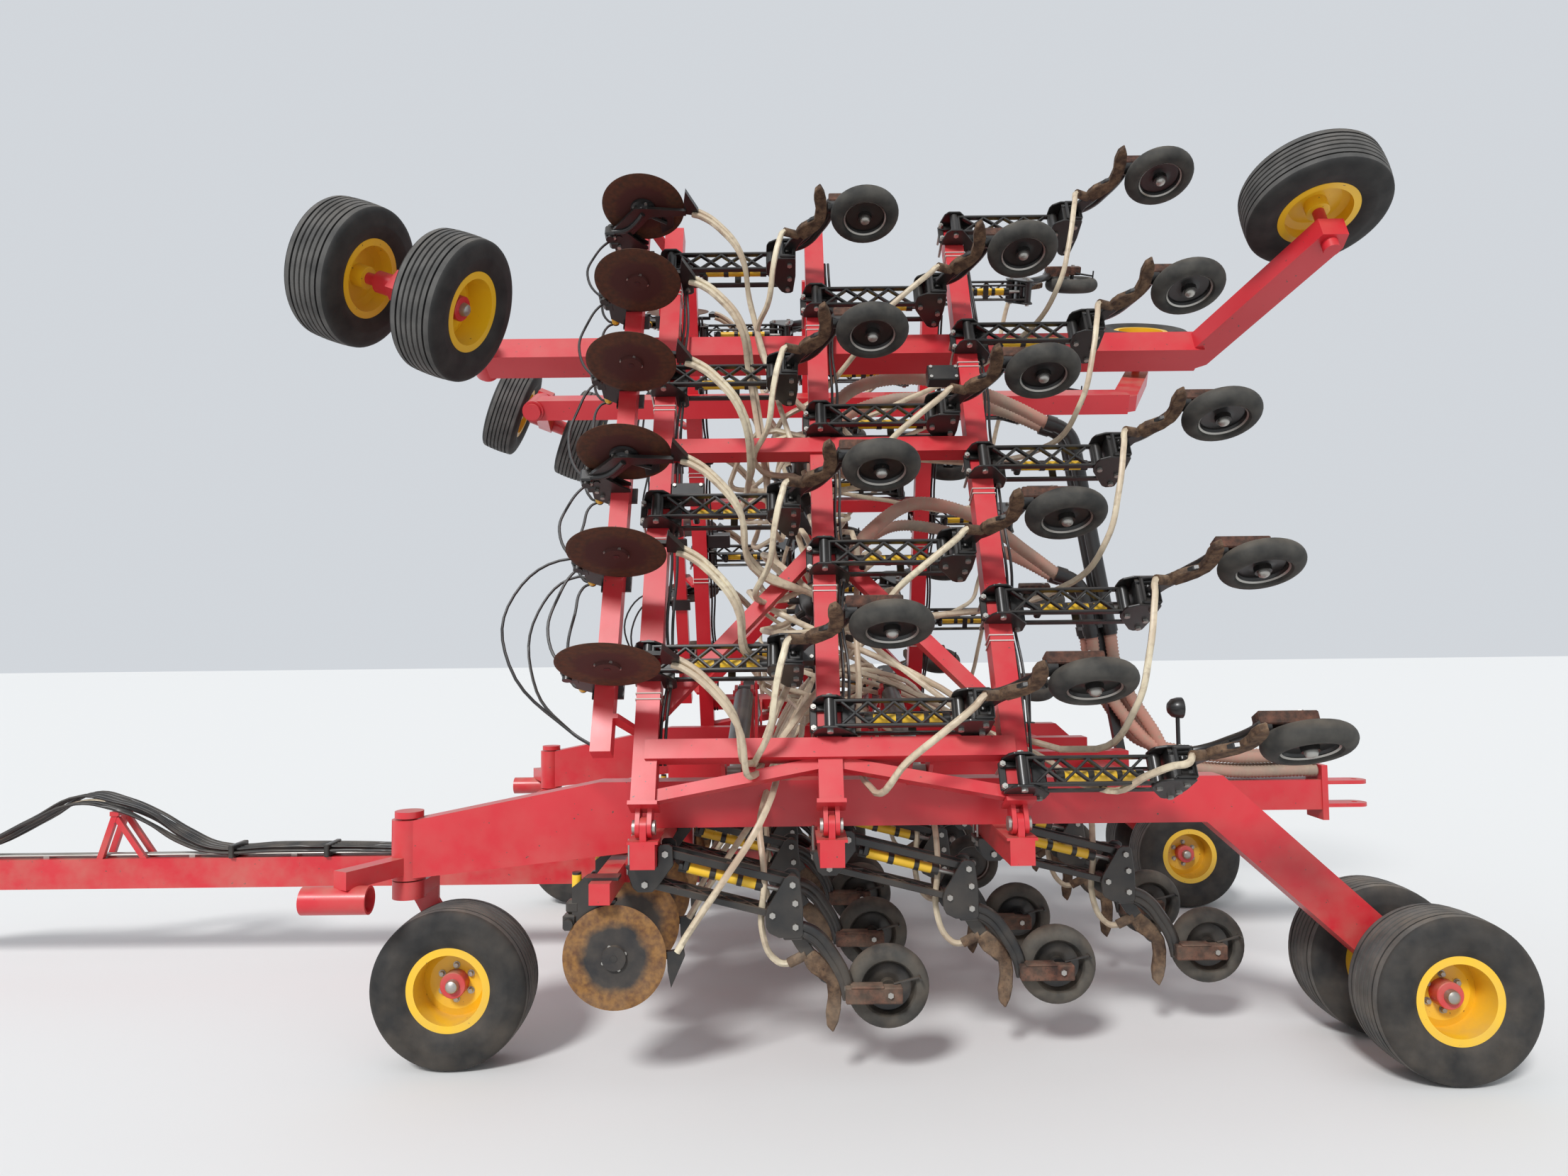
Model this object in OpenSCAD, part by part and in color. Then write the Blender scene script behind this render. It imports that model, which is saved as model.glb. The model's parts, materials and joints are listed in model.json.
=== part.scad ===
/* [Rows] */
// Distance between neighbouring seed rows
row_pitch = 305; // [290:5:320]
// Distance between the ranks of openers, fore and aft
rank_gap = 914; // [900:2:930]
// Place of the front rank behind the middle of the machine
rank1_x = 505; // [495:5:515]

/* [Frame] */
// Side of the square rank tubes
tube = 120; // [112:2:124]
// Height of the centre section's rank tubes
rank_z = 1160; // [1150:5:1170]
// Distance of a fold hinge from the centre line
hinge_y = 2090; // [2080:5:2100]
// Height of the fold hinges
hinge_z = 1290; // [1285:5:1300]
// Radius of the fold hinge pins
hinge_pin_r = 22; // [18:1:24]
// Lean of a folded wing past upright, in degrees
wing_lean = 25.2; // [24:0.2:26]
// Length of a wing's rank tubes out to their tips
wing_len = 3960; // [3940:10:4000]
// Height of a wing's rank tubes against its hinge when unfolded
wing_rank_w = -50; // [-60:5:-45]
// Distance of the side beams from the centre line
side_y = 1650; // [1630:10:1660]
// Distance of the inner beams from the centre line
inner_y = 450; // [440:5:470]
// Width of the fore and aft beams
beam_wide = 150; // [140:5:160]
// Height of the fore and aft beams
beam_tall = 240; // [220:5:245]
// Rear end of the side beams, where they bend down
beam_end_x = 3400; // [3380:10:3450]
// Side of the bander toolbars
bar = 100; // [96:2:102]
// Drop of the bander toolbars below the rank tubes
bar_drop = 160; // [156:2:170]

/* [Wheels] */
// Outer diameter of the main tyres
tyre_od = 826; // [810:2:830]
// Width of the main tyres
tyre_w = 318; // [300:2:320]
// Outer diameter of the wing caster tyres
small_od = 780; // [760:5:790]
// Width of the wing caster tyres
small_w = 280; // [265:5:285]
// Radius of the rim barrels
rim_r = 190.5; // [186:0.5:192]
// Radius of the wheel spindles
spindle_r = 32; // [28:1:34]
// Trail of the front casters
caster_trail = 250; // [230:5:270]
// Trail of the wing casters
wing_trail = 360; // [340:5:370]
// Swing of the wing casters from straight down, in degrees
wing_swing = 23; // [20:1:25]
// Spacing of the wing caster tyres
wing_dual = 640; // [620:5:660]
// Spacing of the rear twin tyres
rear_dual = 620; // [600:5:640]
// Place of the rear axle
rear_axle_x = 4450; // [4430:10:4470]

/* [Openers] */
// Length of an opener's parallel links
link_len = 640; // [620:5:650]
// Slope of the centre section's links, in degrees
centre_drop = 14; // [10:1:16]
// Outer diameter of the packer wheels
packer_od = 410; // [400:5:420]
// Width of the packer wheels
packer_w = 110; // [100:2:112]
// Place of a packer's axle behind its rank tube
packer_x = 1205; // [1195:5:1215]
// Depth of a packer's axle below its rank tube
packer_drop = 520; // [510:5:525]
// Diameter of the bander discs
disc_od = 500; // [480:5:510]
// Drop of a bander disc's axle below its toolbar
disc_drop = 320; // [315:5:330]

/* [Towing] */
// Front end of the hitch clevis
hitch_x = -5200; // [-5250:10:-5150]
// Rear end of the cart hitch
cart_x = 5200; // [5150:10:5250]
// Height of the drawbar's top
pole_z = 750; // [740:5:760]
// Height of the drawbar
pole_tall = 200; // [190:5:210]
// Radius of the hitch pin's hole
hitch_r = 26; // [22:1:28]
// Place of the air risers' foot
riser_x = 3615; // [3600:5:3640]
// Height of the risers' lower ends above the hitch tube, along their lean
riser_low = 1020; // [980:10:1060]
// Straight length of the tall risers
tall_riser = 1330; // [1300:10:1360]
// Straight length of the short risers
short_riser = 280; // [270:5:300]
// Forward lean of the risers, in degrees
riser_lean = 9.5; // [9:0.5:12]
// Radius of the risers
riser_r = 48; // [44:1:52]

/* [Hidden] */
$fn = 48;
RED = "crimson";
BLACK = "#1c1c1e";
YELLOW = "gold";
STEEL = "silver";
RUST = "#6b4a35";
fit = 0.05;
pin_gap = 0.3;

rank_x = [rank1_x, rank1_x + rank_gap, rank1_x + 2 * rank_gap];
bar_x = rank1_x - 196;
disc_x = 57;
beam_z0 = rank_z + tube / 2;
beam_z1 = beam_z0 + beam_tall;
wing_start = 100;
row_shift = 7 * row_pitch - hinge_y;
fold_deg = 90 + wing_lean;
hitch_top = 1200;
axle_z = tyre_od / 2;

// rows on each rank, counted outward: the wing's from its hinge to its tip, the centre's from the middle
tip_gap = 60;
bar_end = wing_len - tip_gap;
last_row = floor((bar_end - row_shift) / row_pitch - 0.5);
wing_rows = [for (first = [2, 1, 0]) [for (t = [first:3:last_row]) t]];
centre_rows = [[0, 3, 6], [2, 5], [1, 4]];
// bander places in row pitches: the wing's from its hinge, the centre's from the middle
band_places = [for (n = [2:2:last_row]) n];
centre_bands = [1, 3, 5, 7];

caster_x = -800;
wing_pivot_x = -700;
wing_beam_u = 3050;
wing_beam_wide = 150;
wing_beam_tall = 200;
wing_beam_end = 3850;
wing_axle_x = 4235;
wing_wheel_w = -840;
wing_wheel_off = 280;
cross_us = [355, 2180];
cross_side = 100;

// the fold cylinder's pins, across the machine: base on the frame, eye on the unfolded wing
cyl_y = inner_y;
cyl_z = 1850;
eye_u = 300;
eye_w = 150;
cyl_xs = [rank_x[0] + 430, rank_x[1] + 460];
cyl_r = 60;
rod_r = 32;
eye_r = 52;
eye_pin_r = 20;
eye_y = hinge_y + eye_u * cos(fold_deg) - eye_w * sin(fold_deg);
eye_z = hinge_z + eye_u * sin(fold_deg) + eye_w * cos(fold_deg);
cyl_len = sqrt(pow(eye_y - cyl_y, 2) + pow(eye_z - cyl_z, 2));
cyl_tilt = atan2(eye_z - cyl_z, eye_y - cyl_y);
barrel_len = 1080;
barrel_start = 84;
lug_gap = 84;
lug_t = 20;

// a box given by its low corner and its high corner
module block(low, high) {
    translate(low) cube(high - low);
}

// a flat plate: an outline in x and z, spread evenly to both sides of the place y
module plate(outline, y, thick) {
    translate([0, y + thick / 2, 0]) rotate([90, 0, 0]) linear_extrude(thick) polygon(outline);
}

// a round bar across the machine
module cross_bar(r, x, z, y0, y1) {
    translate([x, y1, z]) rotate([90, 0, 0]) cylinder(r = r, h = y1 - y0);
}

// left is the side towards -Y, right the side towards +Y
module on_side(side) {
    mirror([0, side < 0 ? 1 : 0, 0]) children();
}

// a wing's own place: x fore and aft, y outward from its hinge, z up when it is unfolded
module on_wing(side) {
    on_side(side) translate([0, hinge_y, hinge_z]) rotate([fold_deg, 0, 0]) children();
}

function row_u(t) = (0.5 + t) * row_pitch + row_shift;
function band_u(k) = k * row_pitch + 20;

// wheel pieces, all turning about the y axis

module tyre(od, w) {
    r = od / 2;
    h = r - rim_r;
    b = w * 0.38;
    color(BLACK) rotate([90, 0, 0]) rotate_extrude($fn = 72) polygon([
        [rim_r, -b], [rim_r + 26, -b], [rim_r + h * 0.45, -w / 2], [r - h * 0.3, -w * 0.49],
        [r - h * 0.08, -w * 0.43], [r, -w * 0.32], [r, w * 0.32], [r - h * 0.08, w * 0.43],
        [r - h * 0.3, w * 0.49], [rim_r + h * 0.45, w / 2], [rim_r + 26, b], [rim_r, b]
    ]);
}

// the outer side of the rim faces +y: a dished disc in the barrel, and a hub through it
module rim(w) {
    b = w * 0.38;
    wall = 12;
    lip = 26;
    hub_r = 62;
    disc_r = 140;
    color(YELLOW) rotate([-90, 0, 0]) rotate_extrude($fn = 72) polygon([
        [spindle_r + fit, -100], [hub_r, -100], [hub_r, -30], [disc_r, -30], [rim_r - wall, -46],
        [rim_r - wall, -b - 10], [rim_r + lip, -b - 10], [rim_r + lip, -b], [rim_r, -b],
        [rim_r, b], [rim_r + lip, b], [rim_r + lip, b + 10], [rim_r - wall, b + 10],
        [rim_r - wall, -32], [disc_r, -16], [hub_r, -16], [hub_r, 50], [spindle_r + fit, 50]
    ]);
}

module packer_wheel() {
    r = packer_od / 2;
    w = packer_w / 2;
    color(BLACK) rotate([90, 0, 0]) rotate_extrude($fn = 60) polygon([
        [16 + fit, -44], [40, -44], [40, -12], [r - 92, -12], [r - 78, -w * 0.75], [r - 45, -w],
        [r - 14, -w * 0.8], [r, -w * 0.35], [r, w * 0.35], [r - 14, w * 0.8], [r - 45, w],
        [r - 78, w * 0.75], [r - 92, 4], [40, 4], [40, 44], [16 + fit, 44]
    ]);
}

// a row opener: the origin is the middle of its rank tube, x runs rearward, y outward;
// the clamp, the two links and the knuckle are pieces of their own, joined by pins
module opener(drop) {
    low = [0, -150];
    up = [100, -4];
    shift = [link_len * cos(drop), -link_len * sin(drop)];
    k = low + shift;
    p = [packer_x - link_len, -packer_drop + 150] + k;
    bottom = -tube / 2;
    pin = 12;
    cyl_drop = -58;
    link_w = 146;
    // clamp below and behind the rank tube, with the pins of the links' front ends
    color(BLACK) {
        block([-80, -86, bottom - 14], [130, 86, bottom]);
        for (s = [-1, 1]) plate([
            [-80, bottom - 13], [62, bottom - 13], [62, 40], [135, 40], [140, -60], [40, -190], [-40, -190]
        ], s * (link_w / 2 + 8), 12);
        for (at = [low, up]) cross_bar(pin, at[0], at[1], -94, 94);
    }
    // lower link: a ladder with crossed webs
    translate([low[0], 0, low[1]]) rotate([0, drop, 0]) difference() {
        color(BLACK) lattice(link_len, link_w, 34, 4);
        for (x = [0, link_len]) cross_bar(pin + pin_gap, x, 0, -90, 90);
    }
    // upper link: two straps with a brace, and the lift cylinder hung between them
    translate([up[0], 0, up[1]]) rotate([0, drop, 0]) difference() {
        union() {
            color(BLACK) {
                for (s = [-1, 1]) block([-20, s * 52 - 6, -19], [link_len + 20, s * 52 + 6, 19]);
                block([link_len / 2 - 20, -52, -8], [link_len / 2 + 20, 52, 8]);
                block([100, -52, cyl_drop], [140, 52, -8]);
            }
            color(YELLOW) translate([76, 0, cyl_drop]) rotate([0, 90, 0]) cylinder(r = 27, h = 420);
            color(STEEL) translate([76, 0, cyl_drop]) rotate([0, 90, 0]) cylinder(r = 12, h = link_len - 100);
        }
        for (x = [0, link_len]) cross_bar(pin + pin_gap, x, 0, -90, 90);
    }
    // knuckle with the pins of the links' rear ends, the knife with its boot, and the packer's arm
    translate([k[0], 0, k[1]]) {
        color(BLACK) {
            for (s = [-1, 1]) plate([
                [-32, -70], [-32, 30], [66, 186], [132, 186], [150, 40], [150, -110], [30, -110]
            ], s * (link_w / 2 + 8), 12);
            block([36, -76, -96], [60, 76, 60]);
            for (at = [[0, 0], up - low]) cross_bar(pin, at[0], at[1], -92, 92);
            plate([
                [56, 60], [122, 60], [150, -90], [210, -200], [300, -290], [300, -360], [240, -350], [170, -250],
                [84, -130]
            ], 0, 26);
            plate([
                [40, -90], [40, -16], [150, -16], [250, -60], [345, -190], [400, -300], [400, -410], [345, -410],
                [270, -230], [170, -130]
            ], 68, 12);
        }
        color(RUST) plate([
            [150, -230], [176, -290], [262, -350], [268, -420], [262, -560], [290, -590], [318, -540],
            [330, -420], [330, -330], [290, -270], [200, -190]
        ], 0, 44);
    }
    color(RUST) block([p[0] - 215, 73, p[1] - 45], [p[0] + 60, 140, p[1] + 35]);
    color(STEEL) cross_bar(16, p[0], p[1], -50, 80);
}

// a ladder along x: two rails and crossed webs between them
module lattice(len, wide, tall, bays) {
    rail = 16;
    gap = wide - 2 * rail;
    first = 60;
    pitch = (len - 2 * first) / bays;
    for (s = [-1, 1]) block([-24, s > 0 ? wide / 2 - rail : -wide / 2, -tall / 2],
        [len + 24, s > 0 ? wide / 2 : rail - wide / 2, tall / 2]);
    for (x = [-24, len - first + 24]) block([x, -wide / 2 + 1, -tall / 2], [x + first, wide / 2 - 1, tall / 2]);
    for (i = [0:bays - 1], s = [-1, 1])
        translate([first + (i + 0.5) * pitch, 0, 0]) rotate([0, 0, s * atan2(gap, pitch)])
            block([-norm([gap, pitch]) / 2 - 4, -6, -tall / 3], [norm([gap, pitch]) / 2 + 4, 6, tall / 3]);
}

// a mid-row bander without its disc: the origin is the middle of its toolbar; the arm lies at -y
module bander(flip) {
    disc_z = -disc_drop;
    pivot = [-110, -150];
    mirror([0, flip ? 1 : 0, 0]) {
        color(BLACK) {
            // clamp plates round the toolbar, out to the arm's pivot
            for (y = [-68, -24]) plate([
                [-80, 64], [-52, 64], [-52, -52], [60, -52], [60, -66], [20, -100], [-60, -190], [-150, -190], [-150, 10]
            ], y, 12);
            block([-80, -74, bar / 2], [80, 20, bar / 2 + 14]);
            cross_bar(18, pivot[0], pivot[1], -80, -12);
            // arm to the disc's axle, and on to the boot behind the disc
            plate([
                [-150, -190], [-100, -120], [-60, -120], [disc_x + 40, disc_z + 26], [disc_x + 262, disc_z + 16],
                [disc_x + 262, disc_z - 20], [disc_x + 30, disc_z - 40], [disc_x - 46, disc_z - 40]
            ], -50, 22);
            plate([
                [disc_x + 250, disc_z + 20], [disc_x + 330, disc_z + 34], [disc_x + 336, disc_z - 4],
                [disc_x + 270, disc_z - 150], [disc_x + 254, disc_z - 70]
            ], -27, 30);
            cross_bar(16, disc_x, disc_z, -56, 24);
        }
        // down pressure cylinder ahead of the clamp
        color(YELLOW) translate([-132, -46, -120]) cylinder(r = 22, h = 200);
    }
}

module bander_disc() {
    color(RUST) rotate([90, 0, 0]) rotate_extrude($fn = 72) polygon([
        [16 + fit, -22], [58, -22], [62, -5], [disc_od / 2 - 14, -4], [disc_od / 2, -1],
        [disc_od / 2, 1], [disc_od / 2 - 14, 4], [62, 5], [58, 22], [16 + fit, 22]
    ]);
}

// centre section

module main_ranks() {
    color(RED) for (x = rank_x) {
        block([x - tube / 2, -hinge_y - 70, rank_z - tube / 2], [x + tube / 2, hinge_y + 70, beam_z0]);
        for (s = [-1, 1]) on_side(s) difference() {
            union() {
                block([x - 75, hinge_y - 190, beam_z0 - 1], [x + 75, hinge_y + 70, beam_z0 + 12]);
                plate_x([[-150, beam_z0 - hinge_z], [-52, 10], [0, 52], [52, 0], [52, beam_z0 - hinge_z]], x, 32);
                translate([x - 16, hinge_y, hinge_z]) rotate([0, 90, 0]) cylinder(r = 52, h = 32);
            }
            translate([x - 40, hinge_y, hinge_z]) rotate([0, 90, 0]) cylinder(r = hinge_pin_r, h = 80);
        }
    }
}

// a plate across the machine, its outline in y and z given from the hinge, centred on the place x
module plate_x(outline, x, thick) {
    translate([x - thick / 2, hinge_y, hinge_z]) rotate([90, 0, 90]) linear_extrude(thick) polygon(outline);
}

module main_beams() {
    color(RED) for (s = [-1, 1]) on_side(s) {
        block([rank1_x - tube / 2, side_y - beam_wide / 2, beam_z0], [beam_end_x, side_y + beam_wide / 2, beam_z1]);
        block([rank1_x - tube / 2, inner_y - beam_wide / 2, beam_z0], [beam_end_x, inner_y + beam_wide / 2, beam_z1]);
        // towers that hold the fold cylinders' base pins
        for (x = cyl_xs) {
            for (e = [-1, 1]) translate([x + e * (lug_gap + lug_t) / 2 - lug_t / 2, 0, 0])
                rotate([90, 0, 90]) linear_extrude(lug_t) polygon([
                    [inner_y - 75, beam_z1 - 1], [inner_y + 75, beam_z1 - 1], [inner_y + 60, beam_z1 + 120],
                    [cyl_y + 50, cyl_z + 30], [cyl_y, cyl_z + 54], [cyl_y - 50, cyl_z + 30], [inner_y - 60, beam_z1 + 120]
                ]);
            translate([x - lug_gap / 2 - lug_t - 12, cyl_y, cyl_z]) rotate([0, 90, 0])
                cylinder(r = eye_pin_r, h = lug_gap + 2 * lug_t + 24);
        }
    }
}

// cross members between the beams, behind the rear rank
module cross_members() {
    x = [3100, 3220];
    z = [beam_z0 + 60, beam_z1 - 60];
    half = beam_wide / 2;
    color(RED) {
        for (s = [-1, 1]) on_side(s) block([x[0], inner_y + half, z[0]], [x[1], side_y - half, z[1]]);
        block([x[0], half - inner_y, z[0]], [x[1], inner_y - half, z[1]]);
    }
}

module hinge_pins() {
    color(STEEL) for (x = rank_x, s = [-1, 1]) on_side(s) translate([x, hinge_y, hinge_z]) rotate([0, 90, 0]) {
        translate([0, 0, -56]) cylinder(r = hinge_pin_r, h = 112);
        for (z = [-56, 42]) translate([0, 0, z]) cylinder(r = 36, h = 14);
    }
}

module front_arms() {
    color(RED) for (s = [-1, 1]) on_side(s) {
        difference() {
            union() {
                plate([
                    [rank1_x - tube / 2, rank_z - tube / 2], [rank1_x - tube / 2, beam_z1], [220, beam_z1],
                    [caster_x, 1262], [caster_x, 968]
                ], side_y, beam_wide);
                translate([caster_x, side_y, 960]) cylinder(r = 88, h = 310);
            }
            translate([caster_x, side_y, 900]) cylinder(r = 40 + fit, h = 420);
        }
        // outrigger with its short cross tube
        translate([caster_x, side_y, 0]) rotate([0, 0, 118]) block([70, -45, 990], [430, 45, 1080]);
        difference() {
            translate([caster_x - 400, side_y + 340, 930]) rotate([0, 90, 0]) cylinder(r = 70, h = 330);
            translate([caster_x - 410, side_y + 340, 930]) rotate([0, 90, 0]) cylinder(r = 58, h = 350);
        }
    }
}

module rear_arms() {
    color(RED) for (s = [-1, 1]) on_side(s) plate([
        [beam_end_x, beam_z0], [beam_end_x, beam_z1], [beam_end_x + 90, beam_z1],
        [rear_axle_x + 110, axle_z + 70], [rear_axle_x + 90, axle_z - 70], [rear_axle_x - 60, axle_z - 80]
    ], side_y, beam_wide);
    color(STEEL) for (s = [-1, 1]) on_side(s) for (e = [-1, 1]) {
        y = side_y + e * (rear_dual / 2 + 62);
        cross_bar(spindle_r, rear_axle_x, axle_z, min(side_y + e * beam_wide / 2, y), max(side_y + e * beam_wide / 2, y));
    }
}

module drawbar() {
    z0 = pole_z - pole_tall;
    stand_x = hitch_x + 1700;
    color(RED) {
        block([hitch_x + 130, -75, z0], [rank_x[0] + 200, 75, pole_z]);
        block([rank_x[0] + 199, -50, z0 + 10], [rank_x[1] + 60, 50, pole_z]);
        for (x = [rank_x[0], rank_x[1]]) block([x - 50, -50, pole_z + fit], [x + 50, 50, rank_z - tube / 2]);
        // hitch clevis
        difference() {
            for (z = [z0 + 30, pole_z - 55]) {
                block([hitch_x + 70, -64, z], [hitch_x + 330, 64, z + 25]);
                translate([hitch_x + 70, 0, z]) cylinder(r = 70, h = 25);
            }
            translate([hitch_x + 70, 0, z0]) cylinder(r = hitch_r, h = pole_tall);
        }
        // stand that carries the hoses over the front of the pole
        difference() {
            union() {
                for (s = [-1, 1]) on_side(s) {
                    translate([stand_x, 42, pole_z - 20]) rotate([0, 18, 0]) block([-20, 0, 0], [20, 30, 340]);
                    translate([stand_x + 320, 42, pole_z - 20]) rotate([0, -35, 0])
                        block([-18, 2, 0], [18, 28, 360]);
                }
                translate([stand_x + 105, -80, pole_z + 290]) block([-30, 0, 0], [30, 160, 30]);
            }
            block([stand_x - 100, -100, pole_z - 60], [stand_x + 400, 100, pole_z + fit]);
        }
    }
}

module hydraulic_lines() {
    color(STEEL) {
        for (y = [-30, -10, 10, 30])
            translate([hitch_x + 500, y, pole_z + 18]) rotate([0, 90, 0]) cylinder(r = 8, h = 3300);
        for (back = [600, 1300, 2300, 3000, 3700])
            translate([hitch_x + back, 0, pole_z]) block([0, -38, 0], [40, 38, 20]);
    }
}

module rear_hitch() {
    color(RED) {
        block([rank_x[2] + tube / 2, -100, hitch_top - 200], [cart_x - 330, 100, hitch_top]);
        block([cart_x - 350, -110, 930], [cart_x - 310, 110, 1300]);
        difference() {
            for (z = [1010, 1165]) {
                block([cart_x - 320, -75, z], [cart_x - 75, 75, z + 25]);
                translate([cart_x - 75, 0, z]) cylinder(r = 75, h = 25);
            }
            translate([cart_x - 75, 0, 1000]) cylinder(r = 19, h = 200);
        }
    }
}

// a riser: a pipe up from z0, and an elbow at z1 that turns forward to its hose
module riser(x, y, z0, z1) {
    bend = 190;
    turn = 62;
    translate([x, y, z0]) cylinder(r = riser_r, h = z1 - z0);
    translate([x, y, z0 + 20]) cylinder(r = riser_r + 7, h = 60);
    translate([x - bend, y, z1]) {
        rotate([90, 0, 0]) rotate_extrude(angle = turn) translate([bend, 0]) circle(riser_r);
        rotate([0, -turn, 0]) translate([bend, 0, 0]) cylinder(r = riser_r + 7, h = 70);
    }
}

// the risers on the hitch tube: a leaning post with two brackets, and a foot plate
module air_tower() {
    color(BLACK) translate([riser_x, 0, hitch_top]) {
        block([-130, -70, 0], [0, 70, 20]);
        difference() {
            rotate([0, -riser_lean, 0]) {
                block([-95, -30, -4], [-35, 30, riser_low + 244]);
                for (z = [riser_low + 60, riser_low + 220]) block([-180, -100, z], [24, 100, z + 24]);
                for (y = [-75, 75]) {
                    riser(0, y, riser_low, riser_low + tall_riser);
                    riser(-130, y, riser_low, riser_low + short_riser);
                }
            }
            block([-200, -80, -60], [100, 80, 0]);
        }
    }
}

function packer_at(drop) = [
    packer_x - link_len * (1 - cos(drop)), -packer_drop - link_len * sin(drop)
];

module centre_openers() {
    for (i = [0:2], j = centre_rows[i], s = [-1, 1])
        on_side(s) translate([rank_x[i], (0.5 + j) * row_pitch, rank_z]) opener(centre_drop);
}

module centre_packers(i) {
    at = packer_at(centre_drop);
    for (j = centre_rows[i], s = [-1, 1])
        on_side(s) translate([rank_x[i] + at[0], (0.5 + j) * row_pitch, rank_z + at[1]]) packer_wheel();
}

// link plates that carry a bander toolbar ahead of the front rank: outline from the rank's middle
module bar_link(y) {
    front = -tube / 2;
    back = bar_x + bar / 2 - rank1_x;
    color(RED) plate([
        [back, -bar_drop - bar / 2], [back, bar / 2 - bar_drop], [front - 20, 40], [front, 40],
        [front, -tube / 2], [back + 25, -bar_drop - bar / 2]
    ], y, 24);
}

module centre_toolbar() {
    z = rank_z - bar_drop;
    color(RED) block([bar_x - bar / 2, -2220, z - bar / 2], [bar_x + bar / 2, 2220, z + bar / 2]);
    for (s = [-1, 1], y = [600, 1300, 1750]) on_side(s) translate([rank1_x, 0, rank_z]) bar_link(y);
}

module centre_banders() {
    for (s = [-1, 1], n = centre_bands)
        on_side(s) translate([bar_x, n * row_pitch, rank_z - bar_drop]) bander(false);
}

module centre_discs() {
    for (n = centre_bands, s = [-1, 1])
        on_side(s) translate([bar_x + disc_x, n * row_pitch, rank_z - bar_drop - disc_drop]) bander_disc();
}

// fold cylinders: built along +y from the base pin, then tilted

module at_cylinder(side) {
    on_side(side) for (x = cyl_xs) translate([x, cyl_y, cyl_z]) rotate([cyl_tilt, 0, 0]) children();
}

module cylinder_barrels(side) {
    color(BLACK) at_cylinder(side) difference() {
        union() {
            rotate([-90, 0, 0]) translate([0, 0, barrel_start]) cylinder(r = cyl_r, h = barrel_len - barrel_start);
            block([-lug_gap / 2 + 3, 0, -40], [lug_gap / 2 - 3, barrel_start + 1, 40]);
            translate([-lug_gap / 2 + 3, 0, 0]) rotate([0, 90, 0]) cylinder(r = eye_r, h = lug_gap - 6);
        }
        translate([-lug_gap, 0, 0]) rotate([0, 90, 0]) cylinder(r = eye_pin_r + fit, h = 2 * lug_gap);
        rotate([-90, 0, 0]) translate([0, 0, 260]) cylinder(r = rod_r + fit, h = barrel_len);
    }
}

module cylinder_rods(side) {
    color(STEEL) at_cylinder(side) difference() {
        union() {
            rotate([-90, 0, 0]) translate([0, 0, 300]) cylinder(r = rod_r, h = cyl_len - 330);
            translate([-lug_gap / 2 + 6, cyl_len, 0]) rotate([0, 90, 0]) cylinder(r = eye_r, h = lug_gap - 12);
        }
        translate([-lug_gap, cyl_len, 0]) rotate([0, 90, 0]) cylinder(r = eye_pin_r, h = 2 * lug_gap);
    }
}

// front casters and rear twins of the centre section

module front_caster(side) {
    leg_y = side_y - tyre_w / 2 - 62;
    ax = caster_x + caster_trail;
    color(RED) on_side(side) {
        translate([caster_x, side_y, 940]) cylinder(r = 40, h = 340);
        translate([caster_x, side_y, 1278]) cylinder(r = 74, h = 34);
        translate([caster_x, side_y, 860]) cylinder(r = 84, h = 92);
        block([caster_x - 84, leg_y - 15, 870], [caster_x + 84, side_y, 945]);
        plate([
            [caster_x - 84, 945], [caster_x + 84, 945], [caster_x + 84, 800], [ax + 66, axle_z + 20],
            [ax + 40, axle_z - 60], [ax - 50, axle_z - 50], [caster_x - 84, 860]
        ], leg_y, 30);
    }
    color(STEEL) on_side(side) cross_bar(spindle_r, ax, axle_z, leg_y, side_y + 54);
}

module front_tyre(side) {
    on_side(side) translate([caster_x + caster_trail, side_y, axle_z]) tyre(tyre_od, tyre_w);
}

module front_rim(side) {
    on_side(side) translate([caster_x + caster_trail, side_y, axle_z]) rim(tyre_w);
}

module at_rear(side) {
    on_side(side) for (e = [-1, 1])
        translate([rear_axle_x, side_y + e * rear_dual / 2, axle_z]) mirror([0, e < 0 ? 1 : 0, 0]) children();
}

module rear_tyres(side) {
    at_rear(side) tyre(tyre_od, tyre_w);
}

module rear_rims(side) {
    at_rear(side) rim(tyre_w);
}

// wings

// a flat bar in the wing's plane between two places, from one height to another
module strut(p, q, wide, low, high) {
    translate([p[0], p[1], low]) rotate([0, 0, atan2(q[1] - p[1], q[0] - p[0])])
        block([0, -wide / 2, 0], [norm(q - p), wide / 2, high - low]);
}

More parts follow.
